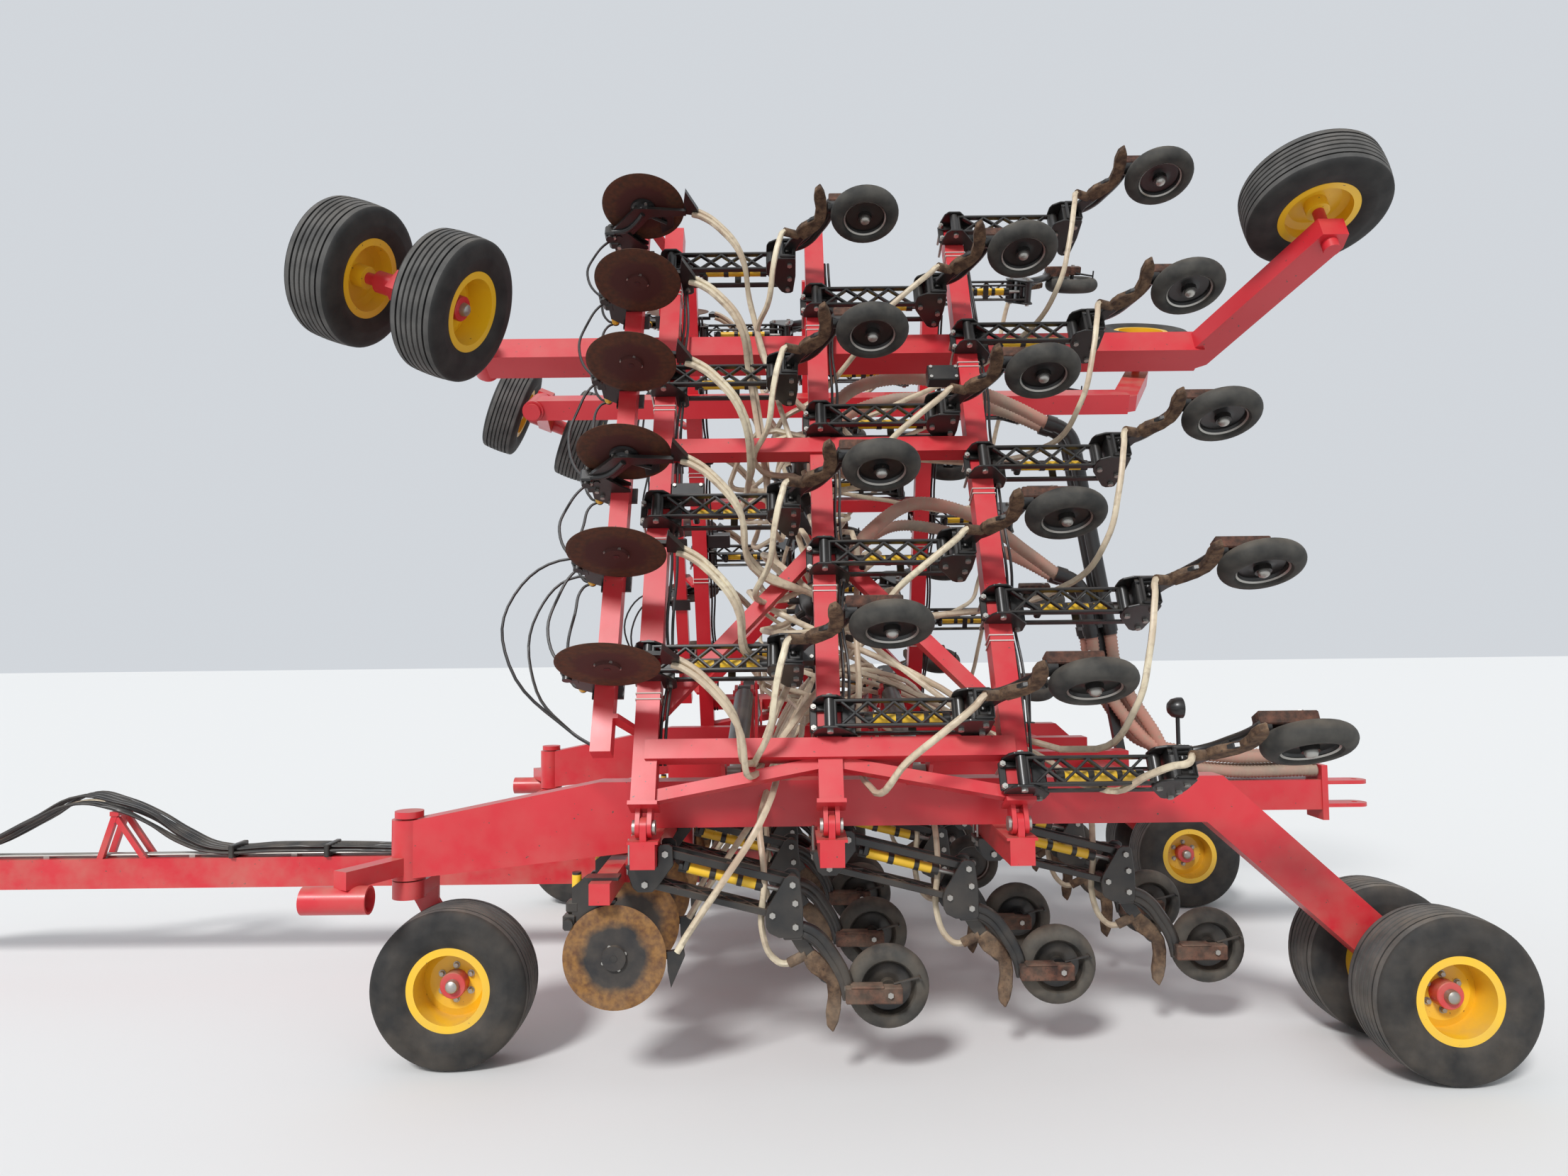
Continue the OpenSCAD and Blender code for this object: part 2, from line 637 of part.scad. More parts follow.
module wing_frame(side) {
    w0 = wing_rank_w - tube / 2;
    w1 = wing_rank_w + tube / 2;
    color(RED) on_wing(side) difference() {
        union() {
            for (x = rank_x) {
                block([x - tube / 2, wing_start - 10, w0], [x + tube / 2, wing_len, w1]);
                block([x - 72, wing_start - 20, w0 - 10], [x + 72, wing_start, w1 + 20]);
                for (e = [-1, 1]) {
                    block([x + e * 29 - 11, 0, -50], [x + e * 29 + 11, wing_start, 50]);
                    translate([x + e * 29 - 11, 0, 0]) rotate([0, 90, 0]) cylinder(r = 50, h = 22);
                }
            }
            // cross tubes and braces
            for (u = cross_us)
                block([rank_x[0], u - cross_side / 2, w0 - 20], [rank_x[2], u + cross_side / 2, w0 - 20 + cross_side]);
            for (m = [[rank_x[0], 1], [rank_x[2], -1]]) {
                strut([m[0], 560], [rank_x[1], 1620], 80, w1, w1 + 60);
                strut([m[0] + m[1] * 40, 130], [rank_x[1], 300], 60, w0 + 25, w0 + 85);
            }
            // lugs that face the fold cylinders' rod eyes
            for (x = cyl_xs, e = [-1, 1])
                translate([x + e * (lug_gap + lug_t) / 2 - lug_t / 2, 0, 0]) rotate([90, 0, 90])
                    linear_extrude(lug_t) polygon([
                        [cross_us[0] - 50, w0], [cross_us[0] + 50, w0 + 40], [cross_us[0] + 50, w1 + 10],
                        [eye_u + 50, eye_w + 20], [eye_u, eye_w + 54], [eye_u - 50, eye_w + 20],
                        [eye_u - 50, eye_w - 30], [cross_us[0] - 50, w1]
                    ]);
        }
        for (x = rank_x) translate([x - 60, 0, 0]) rotate([0, 90, 0]) cylinder(r = hinge_pin_r + fit, h = 120);
        for (x = cyl_xs) translate([x - 80, eye_u, eye_w]) rotate([0, 90, 0]) cylinder(r = eye_pin_r, h = 160);
    }
}

module wheel_beam(side) {
    w0 = wing_rank_w + tube / 2;
    w1 = w0 + wing_beam_tall;
    u = wing_beam_u;
    ax = wing_axle_x;
    aw = wing_wheel_w;
    color(RED) on_wing(side) {
        difference() {
            union() {
                block([wing_pivot_x, u - wing_beam_wide / 2, w0], [wing_beam_end, u + wing_beam_wide / 2, w1]);
                translate([wing_pivot_x, u, w0 - 70]) cylinder(r = 80, h = wing_beam_tall + 90);
            }
            translate([wing_pivot_x, u, w0 - 100]) cylinder(r = 36 + fit, h = 400);
        }
        plate([
            [wing_beam_end - 1, w0], [wing_beam_end - 1, w1], [wing_beam_end + 70, w1 - 40],
            [ax + 95, aw + 40], [ax + 80, aw - 62], [ax - 62, aw - 62], [wing_beam_end - 60, w0]
        ], u, 120);
        cross_bar(44, ax, aw, u - 120, u - 59);
    }
    color(STEEL) on_wing(side) cross_bar(spindle_r, ax, aw, u + 59, u + wing_wheel_off + 54);
}

module wing_toolbar(side) {
    w = wing_rank_w - bar_drop;
    on_wing(side) {
        color(RED) block([bar_x - bar / 2, 300, w - bar / 2], [bar_x + bar / 2, bar_end, w + bar / 2]);
        for (y = [480, 1500, wing_beam_u - 200, bar_end - 50]) translate([rank1_x, 0, wing_rank_w]) bar_link(y);
    }
}

module wing_banders(side) {
    on_wing(side) for (i = [0:len(band_places) - 1])
        translate([bar_x, band_u(band_places[i]), wing_rank_w - bar_drop]) bander(i % 3 != 2);
}

module wing_discs(side) {
    on_wing(side) for (n = band_places)
        translate([bar_x + disc_x, band_u(n), wing_rank_w - bar_drop - disc_drop]) bander_disc();
}

module wing_openers(side) {
    on_wing(side) for (i = [0:2], t = wing_rows[i]) translate([rank_x[i], row_u(t), wing_rank_w]) opener(0);
}

module wing_packers(i, side) {
    at = packer_at(0);
    on_wing(side) for (t = wing_rows[i])
        translate([rank_x[i] + at[0], row_u(t), wing_rank_w + at[1]]) packer_wheel();
}

// the caster's own place: its pivot, with the trail along -y before it swings
module at_wing_pivot(side) {
    on_wing(side) translate([wing_pivot_x, wing_beam_u, 0]) rotate([0, 0, -wing_swing]) children();
}

module wing_caster(side) {
    w0 = wing_rank_w + tube / 2 - 70;
    color(RED) at_wing_pivot(side) {
        translate([0, 0, w0 - 20]) cylinder(r = 36, h = wing_beam_tall + 130);
        translate([0, 0, w0 - 96]) cylinder(r = 76, h = 90);
        translate([0, 0, w0 + wing_beam_tall + 96]) cylinder(r = 62, h = 22);
        rotate([0, 0, -90]) plate([
            [-76, w0 - 50], [76, w0 - 50], [wing_trail + 70, wing_wheel_w + 30], [wing_trail + 60, wing_wheel_w - 60],
            [wing_trail - 70, wing_wheel_w - 60], [-76, w0 - 160]
        ], 0, 110);
        translate([-150, -wing_trail, wing_wheel_w]) rotate([0, 90, 0]) cylinder(r = 60, h = 300);
    }
    color(STEEL) at_wing_pivot(side) translate([-wing_dual / 2 - 54, -wing_trail, wing_wheel_w])
        rotate([0, 90, 0]) cylinder(r = spindle_r, h = wing_dual + 108);
}

module at_wing_twin(side) {
    at_wing_pivot(side) translate([0, -wing_trail, wing_wheel_w]) for (e = [-1, 1])
        translate([e * wing_dual / 2, 0, 0]) rotate([0, 0, -e * 90]) children();
}

module wing_caster_tyres(side) {
    at_wing_twin(side) tyre(small_od, small_w);
}

module wing_caster_rims(side) {
    at_wing_twin(side) rim(small_w);
}

module at_wing_rear(side) {
    on_wing(side) translate([wing_axle_x, wing_beam_u + wing_wheel_off, wing_wheel_w]) children();
}

module wing_rear_tyre(side) {
    at_wing_rear(side) tyre(small_od, small_w);
}

module wing_rear_rim(side) {
    at_wing_rear(side) rim(small_w);
}

main_ranks();
main_beams();
cross_members();
hinge_pins();
front_arms();
rear_arms();
drawbar();
hydraulic_lines();
rear_hitch();
air_tower();
centre_toolbar();
centre_banders();
centre_discs();
centre_openers();
centre_packers(0);  // centre_packers_1
centre_packers(1);  // centre_packers_2
centre_packers(2);  // centre_packers_3
cylinder_barrels(-1);  // cylinder_barrels_l
cylinder_barrels(1);  // cylinder_barrels_r
cylinder_rods(-1);  // cylinder_rods_l
cylinder_rods(1);  // cylinder_rods_r
front_caster(-1);  // front_caster_l
front_caster(1);  // front_caster_r
front_tyre(-1);  // front_tyre_l
front_tyre(1);  // front_tyre_r
front_rim(-1);  // front_rim_l
front_rim(1);  // front_rim_r
rear_tyres(-1);  // rear_tyres_l
rear_tyres(1);  // rear_tyres_r
rear_rims(-1);  // rear_rims_l
rear_rims(1);  // rear_rims_r
wing_frame(-1);  // wing_frame_l
wing_frame(1);  // wing_frame_r
wheel_beam(-1);  // wheel_beam_l
wheel_beam(1);  // wheel_beam_r
wing_toolbar(-1);  // wing_toolbar_l
wing_toolbar(1);  // wing_toolbar_r
wing_banders(-1);  // wing_banders_l
wing_banders(1);  // wing_banders_r
wing_discs(-1);  // wing_discs_l
wing_discs(1);  // wing_discs_r
wing_openers(-1);  // wing_openers_l
wing_openers(1);  // wing_openers_r
wing_packers(0, -1);  // wing_packers_1_l
wing_packers(1, -1);  // wing_packers_2_l
wing_packers(2, -1);  // wing_packers_3_l
wing_packers(0, 1);  // wing_packers_1_r
wing_packers(1, 1);  // wing_packers_2_r
wing_packers(2, 1);  // wing_packers_3_r
wing_caster(-1);  // wing_caster_l
wing_caster(1);  // wing_caster_r
wing_caster_tyres(-1);  // wing_caster_tyres_l
wing_caster_tyres(1);  // wing_caster_tyres_r
wing_caster_rims(-1);  // wing_caster_rims_l
wing_caster_rims(1);  // wing_caster_rims_r
wing_rear_tyre(-1);  // wing_rear_tyre_l
wing_rear_tyre(1);  // wing_rear_tyre_r
wing_rear_rim(-1);  // wing_rear_rim_l
wing_rear_rim(1);  // wing_rear_rim_r
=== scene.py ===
import json
import math
import random

import bpy
from mathutils import Matrix, Vector


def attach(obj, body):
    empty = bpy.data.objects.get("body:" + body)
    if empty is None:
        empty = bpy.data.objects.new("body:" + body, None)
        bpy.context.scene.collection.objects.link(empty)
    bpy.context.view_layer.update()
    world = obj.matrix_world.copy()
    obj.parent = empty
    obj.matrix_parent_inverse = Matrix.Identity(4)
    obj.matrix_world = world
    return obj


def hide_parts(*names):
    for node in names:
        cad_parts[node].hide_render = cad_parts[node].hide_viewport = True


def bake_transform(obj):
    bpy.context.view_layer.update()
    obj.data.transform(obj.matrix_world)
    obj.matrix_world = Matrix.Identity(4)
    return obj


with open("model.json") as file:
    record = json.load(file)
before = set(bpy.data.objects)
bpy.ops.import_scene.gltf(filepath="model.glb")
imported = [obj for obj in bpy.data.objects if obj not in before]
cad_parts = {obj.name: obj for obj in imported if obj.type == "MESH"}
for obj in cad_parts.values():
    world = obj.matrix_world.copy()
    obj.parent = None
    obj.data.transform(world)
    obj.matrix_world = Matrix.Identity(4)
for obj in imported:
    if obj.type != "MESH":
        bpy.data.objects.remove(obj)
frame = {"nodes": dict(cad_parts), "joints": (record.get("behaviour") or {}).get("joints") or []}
bpy.ops.object.select_all(action="DESELECT")
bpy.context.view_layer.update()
nodes_of_frame = frame["nodes"]
joints = {joint["name"]: joint for joint in frame["joints"]}
random.seed(7)


# The camera stands beside the drill on the left, at head height, and looks square across it.
# The near wing leans away from it, so its underside fills the picture.
camera_at = Vector((1.2, -7.11, 2.2))
camera_pitch = math.radians(2.86)
camera_roll = math.radians(0.63)
bpy.ops.object.camera_add(location=camera_at)
camera = bpy.context.object
turn = Matrix.Rotation(math.pi / 2 + camera_pitch, 4, "X") @ Matrix.Rotation(-camera_roll, 4, "Z")
camera.rotation_euler = turn.to_euler()
camera.data.sensor_width = 36
camera.data.lens = 23.4
bpy.context.scene.camera = camera


# The frame of the drill: square steel tubes, plates and lugs, welded and sprayed with red enamel.
# Dust has settled on its upward faces and low down, and the sun has dulled the gloss in patches.
def new_material(name):
    """An empty node material, with its shader and a way to add and join nodes."""
    material = bpy.data.materials.new(name)
    material.use_nodes = True
    tree = material.node_tree

    def add(kind, inputs=None, **settings):
        made = tree.nodes.new("ShaderNode" + kind)
        for key, value in settings.items():
            setattr(made, key, value)
        for key, value in (inputs or {}).items():
            if isinstance(value, bpy.types.NodeSocket):
                tree.links.new(value, made.inputs[key])
            else:
                made.inputs[key].default_value = value
        return made

    return material, tree.nodes["Principled BSDF"], tree, add


def mixed(add, factor, first, second):
    """A colour between two others, by a factor."""
    mix = add("Mix", data_type="RGBA")
    for key, value in (("Factor", factor), ("A", first), ("B", second)):
        socket = mix.inputs[key]
        if isinstance(value, bpy.types.NodeSocket):
            mix.id_data.links.new(value, socket)
        else:
            socket.default_value = value
    return mix.outputs["Result"]


def rgb(red, green, blue):
    return (red, green, blue, 1)


def noise(add, scale, detail=4.0, low=0.0, high=1.0):
    """A cloudy pattern on the object's own place, spread from low to high."""
    place = add("TexCoord").outputs["Object"]
    cloud = add("TexNoise", {"Vector": place, "Scale": scale, "Detail": detail})
    spread = add("MapRange", {"Value": cloud.outputs["Fac"], "From Min": low, "From Max": high})
    return spread.outputs["Result"]


def settled(add, strength):
    """How much dust lies on a spot: most on upward faces and near the ground."""
    up = add("SeparateXYZ", {"Vector": add("NewGeometry").outputs["Normal"]}).outputs["Z"]
    high = add("SeparateXYZ", {"Vector": add("TexCoord").outputs["Object"]}).outputs["Z"]
    lying = add("MapRange", {"Value": up, "From Min": 0.2, "From Max": 1.0, "To Max": 0.55}).outputs[0]
    low = add("MapRange", {"Value": high, "From Min": 1.5, "From Max": 0.2, "To Max": 0.5}).outputs[0]
    both = add("Math", {0: lying, 1: low}, operation="ADD", use_clamp=True).outputs[0]
    patchy = noise(add, 7.0, 8.0, 0.35, 0.7)
    dusty = add("Math", {0: both, 1: patchy}, operation="MULTIPLY").outputs[0]
    return add("Math", {0: dusty, 1: strength}, operation="MULTIPLY", use_clamp=True).outputs[0]


DUST = rgb(0.36, 0.28, 0.2)


def grained(shader, tree, add, scale, detail, strength, depth=0.002):
    """Gives a shader a fine bump."""
    grain = add("TexNoise", {"Vector": add("TexCoord").outputs["Object"], "Scale": scale, "Detail": detail})
    bump = add("Bump", {"Height": grain.outputs["Fac"], "Strength": strength, "Distance": depth})
    tree.links.new(bump.outputs["Normal"], shader.inputs["Normal"])


def dry(made, base, rough, *grain):
    """Joins a new material's colour, roughness and fine bump, and hands it over."""
    material, shader, tree, add = made
    tree.links.new(base, shader.inputs["Base Color"])
    shader.inputs["Roughness"].default_value = rough
    grained(shader, tree, add, *grain)
    return material


def enamel(name, colour, faded, dust=0.8, rough=(0.28, 0.5), chips=0.72):
    """Sprayed paint: a little faded in patches, dusty, with small chips down to dark steel."""
    material, shader, tree, add = new_material(name)
    base = mixed(add, noise(add, 2.3, 6.0, 0.35, 0.75), colour, faded)
    worn = noise(add, 46.0, 3.0, chips, chips + 0.02)
    base = mixed(add, worn, base, rgb(0.07, 0.045, 0.035))
    dirt = settled(add, dust)
    base = mixed(add, dirt, base, DUST)
    tree.links.new(base, shader.inputs["Base Color"])
    gloss = add("MapRange", {"Value": noise(add, 5.0, 6.0), "To Min": rough[0], "To Max": rough[1]})
    dull = add("Math", {0: dirt, 1: 0.45}, operation="MULTIPLY").outputs[0]
    total = add("Math", {0: gloss.outputs["Result"], 1: dull}, operation="ADD", use_clamp=True)
    tree.links.new(total.outputs[0], shader.inputs["Roughness"])
    grained(shader, tree, add, 160.0, 2.0, 0.05)
    shader.inputs["Coat Weight"].default_value = 0.25
    shader.inputs["Coat Roughness"].default_value = 0.2
    return material


def wear(names, material):
    """Gives CAD nodes a material of this script's."""
    for name in names:
        piece = nodes_of_frame[name]
        for slot in piece.material_slots:
            slot.material = material


SIDES = {"l": -1, "r": 1}
red_paint = enamel("red enamel", rgb(0.56, 0.011, 0.022), rgb(0.6, 0.03, 0.04))
wear([
    "main_ranks", "main_beams", "cross_members", "front_arms", "rear_arms", "drawbar", "rear_hitch",
    "centre_toolbar", "wing_frame_l", "wing_frame_r", "wheel_beam_l", "wheel_beam_r",
    "wing_toolbar_l", "wing_toolbar_r", "front_caster_l", "front_caster_r", "wing_caster_l", "wing_caster_r"
], red_paint)


# The tyres: ribbed implement tyres on the ground, and smaller ones on the wings' casters.
# Moulded black rubber, grey with dust, with straight ribs round the tread and plain sidewalls.
def rubber(name, black, dusty, amount, dull=0.75):
    """Rubber that dust has greyed, more in its rough places."""
    made = new_material(name)
    add = made[-1]
    base = mixed(add, noise(add, 9.0, 8.0, 0.3, 0.75), black, dusty)
    base = mixed(add, settled(add, amount), base, DUST)
    return dry(made, base, dull, 90.0, 6.0, 0.25)


def named(piece, name, material, body):
    """Settles a finished piece: its name, material, body and slot, with its place in its mesh."""
    piece.name = name
    piece.data.name = name
    bpy.ops.object.select_all(action="DESELECT")
    piece.select_set(True)
    bpy.context.view_layer.objects.active = piece
    bpy.ops.object.transform_apply(location=True, rotation=True, scale=True)
    if material:
        piece.data.materials.clear()
        piece.data.materials.append(material)
    if body:
        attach(piece, body)
    return piece


def joined(pieces):
    """Several loose pieces made one."""
    bpy.ops.object.select_all(action="DESELECT")
    for piece in pieces:
        piece.select_set(True)
    bpy.context.view_layer.objects.active = pieces[0]
    bpy.ops.object.transform_apply(location=True, rotation=True, scale=True)
    if len(pieces) > 1:
        bpy.ops.object.join()
    return bpy.context.object


def turned(profile, steps=48, smooth=35):
    """A closed ring turned about Y: its profile is points of radius and place along the axis."""
    bpy.ops.mesh.primitive_circle_add(vertices=len(profile))
    piece = bpy.context.object
    for vertex, (radius, along) in zip(piece.data.vertices, profile):
        vertex.co = (radius, along, 0)
    bpy.ops.object.mode_set(mode="EDIT")
    bpy.ops.mesh.select_all(action="SELECT")
    bpy.ops.mesh.spin(steps=steps, angle=2 * math.pi, center=(0, 0, 0), axis=(0, 1, 0))
    bpy.ops.mesh.select_all(action="SELECT")
    bpy.ops.mesh.remove_doubles(threshold=0.0001)
    bpy.ops.mesh.normals_make_consistent(inside=False)
    bpy.ops.object.mode_set(mode="OBJECT")
    bpy.ops.object.shade_smooth_by_angle(angle=math.radians(smooth))
    return piece


def spread(source, places):
    """Copies of a piece at several places, each a matrix, joined as one mesh. The source goes."""
    made = []
    for place in places:
        mesh = source.data.copy()
        mesh.transform(place)
        if place.determinant() < 0:
            mesh.flip_normals()
        copy = bpy.data.objects.new(source.name, mesh)
        bpy.context.collection.objects.link(copy)
        made.append(copy)
    bpy.data.objects.remove(source)
    return joined(made)


def facing(point, axis):
    """The matrix that sets a piece turned about Y at a point, with its +Y along the axis."""
    way = Vector((0, 1, 0)).rotation_difference(Vector(axis).normalized())
    return Matrix.Translation(Vector(point)) @ way.to_matrix().to_4x4()


def ribbed_tyre(od, width, rim_radius, ribs):
    """The profile of a tyre: bead, bulging sidewalls with a fine ring each, and ribs on the tread."""
    radius = od / 2
    half = width / 2
    depth = 0.011
    wall = [
        (rim_radius + 0.001, 0.385 * width), (rim_radius + 0.022, 0.4 * width),
        (rim_radius + 0.04, 0.45 * width), (rim_radius + 0.075, 0.495 * width),
        (radius - 0.105, half), (radius - 0.098, half + 0.001),
        (radius - 0.09, half - 0.001), (radius - 0.055, 0.485 * width), (radius - 0.028, 0.46 * width),
        (radius - 0.012, 0.425 * width)
    ]
    tread = []
    reach = 0.395 * width
    pitch = 2 * reach / ribs
    groove = 0.011
    for i in range(ribs):
        start = reach - i * pitch
        stop = start - pitch
        crown = [radius - 0.007 * (abs(z) / reach) ** 2 for z in (start, stop)]
        if i:
            tread += [(crown[0] - depth, start - groove * 0.3), (crown[0], start - groove * 0.5)]
        else:
            tread += [(crown[0], start)]
        if i < ribs - 1:
            tread += [(crown[1], stop + groove * 0.5), (crown[1] - depth, stop + groove * 0.3)]
        else:
            tread += [(crown[1], stop)]
    mirrored = [(r, -z) for r, z in reversed(wall)]
    return wall + tread + mirrored


rim_radius = 0.1905
big_tyre = {"od": 0.824, "width": 0.316, "rim_radius": rim_radius, "ribs": 7}
small_tyre = {"od": 0.776, "width": 0.278, "rim_radius": rim_radius, "ribs": 7}
hinge = Vector(joints["wing_fold_r"]["pos_m"])
fold = math.radians(joints["wing_fold_r"]["range_deg"][1])
wing_place = {}
for side, sign in SIDES.items():
    right = Matrix.Translation((0, hinge.y, hinge.z)) @ Matrix.Rotation(fold, 4, "X")
    wing_place[side] = Matrix.Diagonal((1, sign, 1, 1)) @ right
rear_dual = 0.620
wing_dual = 0.640


def wheel_places(joint_name, offsets):
    """Where the wheels on one axle are: the joint's point, moved along its axis, outer side along +Y."""
    joint = joints[joint_name]
    axis = Vector(joint["axis"]).normalized()
    places = []
    for offset in offsets:
        outward = axis if offset >= 0 else -axis
        places.append(facing(Vector(joint["pos_m"]) + offset * axis, outward))
    return places


def single(side, joint_name):
    """A single wheel, its outer side away from the middle of the drill."""
    joint = joints[joint_name]
    axis = Vector(joint["axis"]).normalized()
    outward = Vector((0, SIDES[side], 0))
    if "wing" in joint_name:
        outward = wing_place[side].to_3x3() @ Vector((0, 1, 0))
    if axis.dot(outward) < 0:
        axis = -axis
    return [facing(joint["pos_m"], axis)]


AXLES = {}
for side in SIDES:
    AXLES["front_wheel_" + side] = (
        single(side, "front_wheel_spin_" + side), big_tyre, ["front_tyre_" + side])
    AXLES["rear_wheels_" + side] = (
        wheel_places("rear_wheels_spin_" + side, (-rear_dual / 2, rear_dual / 2)), big_tyre,
        ["rear_tyres_" + side])
    AXLES["wing_caster_wheels_" + side] = (
        wheel_places("wing_caster_wheel_spin_" + side, (-wing_dual / 2, wing_dual / 2)), small_tyre,
        ["wing_caster_tyres_" + side])
    AXLES["wing_rear_wheel_" + side] = (
        single(side, "wing_rear_wheel_spin_" + side), small_tyre, ["wing_rear_tyre_" + side])

tyre_rubber = rubber("tyre rubber", rgb(0.010, 0.010, 0.010), rgb(0.032, 0.030, 0.028), 0.22)
tread_rubber = rubber("tread rubber", rgb(0.055, 0.054, 0.052), rgb(0.12, 0.115, 0.108), 0.35, 0.85)
TREAD_EDGE = 0.0085
for body, (places, size, tyre_nodes) in AXLES.items():
    tyre = turned(ribbed_tyre(**size), 72)
    tyre.data.materials.append(tyre_rubber)
    tyre.data.materials.append(tread_rubber)
    for face in tyre.data.polygons:
        far = math.hypot(face.center.x, face.center.z)
        face.material_index = int(far > size["od"] / 2 - TREAD_EDGE)
    tyre = spread(tyre, places)
    named(tyre, "tread_" + body, None, body)
    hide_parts(*tyre_nodes)


# The wheels: pressed steel rims sprayed yellow, bolted to a hub by six nuts round its cap.
# Each nut sits on a washer in the dish, round a red sleeve with a bright cap.
yellow_paint = enamel("yellow enamel", rgb(0.86, 0.52, 0.012), rgb(0.78, 0.46, 0.03), 0.4)
plated = enamel("zinc plate", rgb(0.5, 0.49, 0.46), rgb(0.36, 0.34, 0.31), 0.3, (0.3, 0.5), 0.8)
plated_shader = plated.node_tree.nodes["Principled BSDF"]
plated_shader.inputs["Metallic"].default_value = 0.85
plated_shader.inputs["Coat Weight"].default_value = 0.0
wear([name for name in nodes_of_frame if "_rims_" in name or "_rim_" in name], yellow_paint)
nut_circle = 0.088
disc_face = -0.0155


def nut(across=0.024, tall=0.016):
    """A hexagon nut on its washer, standing along +Y from the origin."""
    bpy.ops.mesh.primitive_cylinder_add(vertices=6, radius=across / 2 * 1.155, depth=tall,
                                        location=(0, tall / 2 + 0.003, 0), rotation=(math.pi / 2, 0, 0))
    hexagon = bpy.context.object
    bpy.ops.object.mode_set(mode="EDIT")
    bpy.ops.mesh.select_all(action="SELECT")
    bpy.ops.mesh.bevel(offset=0.0015, segments=1, affect="EDGES")
    bpy.ops.object.mode_set(mode="OBJECT")
    washer = turned([(0.002, 0), (across * 0.78, 0), (across * 0.78, 0.003), (0.002, 0.003)], 16)
    return joined([hexagon, washer])


for body, (places, _, _) in AXLES.items():
    ring = []
    for place in places:
        for i in range(6):
            at = Vector((nut_circle, disc_face, 0))
            ring.append(place @ Matrix.Rotation(i * math.pi / 3, 4, "Y") @ Matrix.Translation(at))
    named(spread(nut(), ring), "nuts_" + body, plated, body)
    sleeve = turned([(0.0628, disc_face), (0.0675, disc_face), (0.0675, 0.0505), (0.0640, 0.0545),
                     (0.0005, 0.0545), (0.0005, 0.0500), (0.0628, 0.0500)], 40)
    named(spread(sleeve, places), "hub_sleeves_" + body, red_paint, body)
    cap = turned([(0.0005, 0.0545), (0.036, 0.0545), (0.036, 0.064), (0.030, 0.082), (0.018, 0.090),
                  (0.0005, 0.092)], 32)
    named(spread(cap, places), "hub_caps_" + body, plated, body)


# The openers: cast arms on parallel links under each rank tube, one to a seed row.
# Black castings carry a yellow lift cylinder, a knife with its rusty seed boot, and the packer's arm.
def cut_plate(outline, across, thick, rounding=0.003):
    """A plate cut to an outline in x and z, centred across at a place on y, with its edges taken off."""
    bpy.ops.mesh.primitive_circle_add(vertices=len(outline), fill_type="NGON")
    piece = bpy.context.object
    for vertex, (x, z) in zip(piece.data.vertices, outline):
        vertex.co = (x, across - thick / 2, z)
    bpy.ops.object.mode_set(mode="EDIT")
    bpy.ops.mesh.select_all(action="SELECT")
    bpy.ops.mesh.extrude_region_move(TRANSFORM_OT_translate={"value": (0, thick, 0)})
    bpy.ops.mesh.select_all(action="SELECT")
    bpy.ops.mesh.normals_make_consistent(inside=False)
    if rounding:
        bpy.ops.mesh.bevel(offset=rounding, segments=1, affect="EDGES")
    bpy.ops.object.mode_set(mode="OBJECT")
    return piece


def billet(low, high, rounding=0.003):
    """A squared casting between two corners, its edges rounded."""
    centre = (Vector(low) + Vector(high)) / 2
    bpy.ops.mesh.primitive_cube_add(size=1, location=centre, scale=Vector(high) - Vector(low))
    piece = bpy.context.object
    bpy.ops.object.transform_apply(location=True, rotation=True, scale=True)
    bpy.ops.object.mode_set(mode="EDIT")
    bpy.ops.mesh.select_all(action="SELECT")
    bpy.ops.mesh.bevel(offset=rounding, segments=1, affect="EDGES")
    bpy.ops.object.mode_set(mode="OBJECT")
    return piece


def rod(start, end, radius, sides=12, rounding=0.002):
    """A round bar between two points, its ends chamfered."""
    start, end = Vector(start), Vector(end)
    turn_to = (end - start).to_track_quat("Z", "Y").to_euler()
    bpy.ops.mesh.primitive_cylinder_add(vertices=sides, radius=radius, depth=(end - start).length,
                                        location=(start + end) / 2, rotation=turn_to)
    piece = bpy.context.object
    bpy.ops.object.mode_set(mode="EDIT")
    bpy.ops.mesh.select_all(action="DESELECT")
    bpy.ops.object.mode_set(mode="OBJECT")
    for face in piece.data.polygons:
        face.select = len(face.vertices) == sides
    bpy.ops.object.mode_set(mode="EDIT")
    bpy.ops.mesh.inset(thickness=min(rounding, radius * 0.4), depth=0.0)
    bpy.ops.object.mode_set(mode="OBJECT")
    bpy.ops.object.shade_smooth_by_angle(angle=math.radians(40))
    return piece


def swept(points, radius, sides=3, steps=5, smooth=50, twist="Z_UP"):
    """A round bar along a curved line, as a mesh with capped ends."""
    line = bpy.data.curves.new("swept", "CURVE")
    line.dimensions = "3D"
    line.twist_mode = twist
    spline = line.splines.new("BEZIER")
    spline.bezier_points.add(len(points) - 1)
    for knot, point in zip(spline.bezier_points, points):
        knot.co = point
        knot.handle_left_type = knot.handle_right_type = "AUTO"
    line.resolution_u = steps
    line.bevel_depth = radius
    line.bevel_resolution = sides
    line.use_fill_caps = True
    piece = bpy.data.objects.new("swept", line)
    bpy.context.collection.objects.link(piece)
    bpy.ops.object.select_all(action="DESELECT")
    piece.select_set(True)
    bpy.context.view_layer.objects.active = piece
    bpy.ops.object.convert(target="MESH")
    bpy.ops.object.shade_smooth_by_angle(angle=math.radians(smooth))
    return bpy.context.object


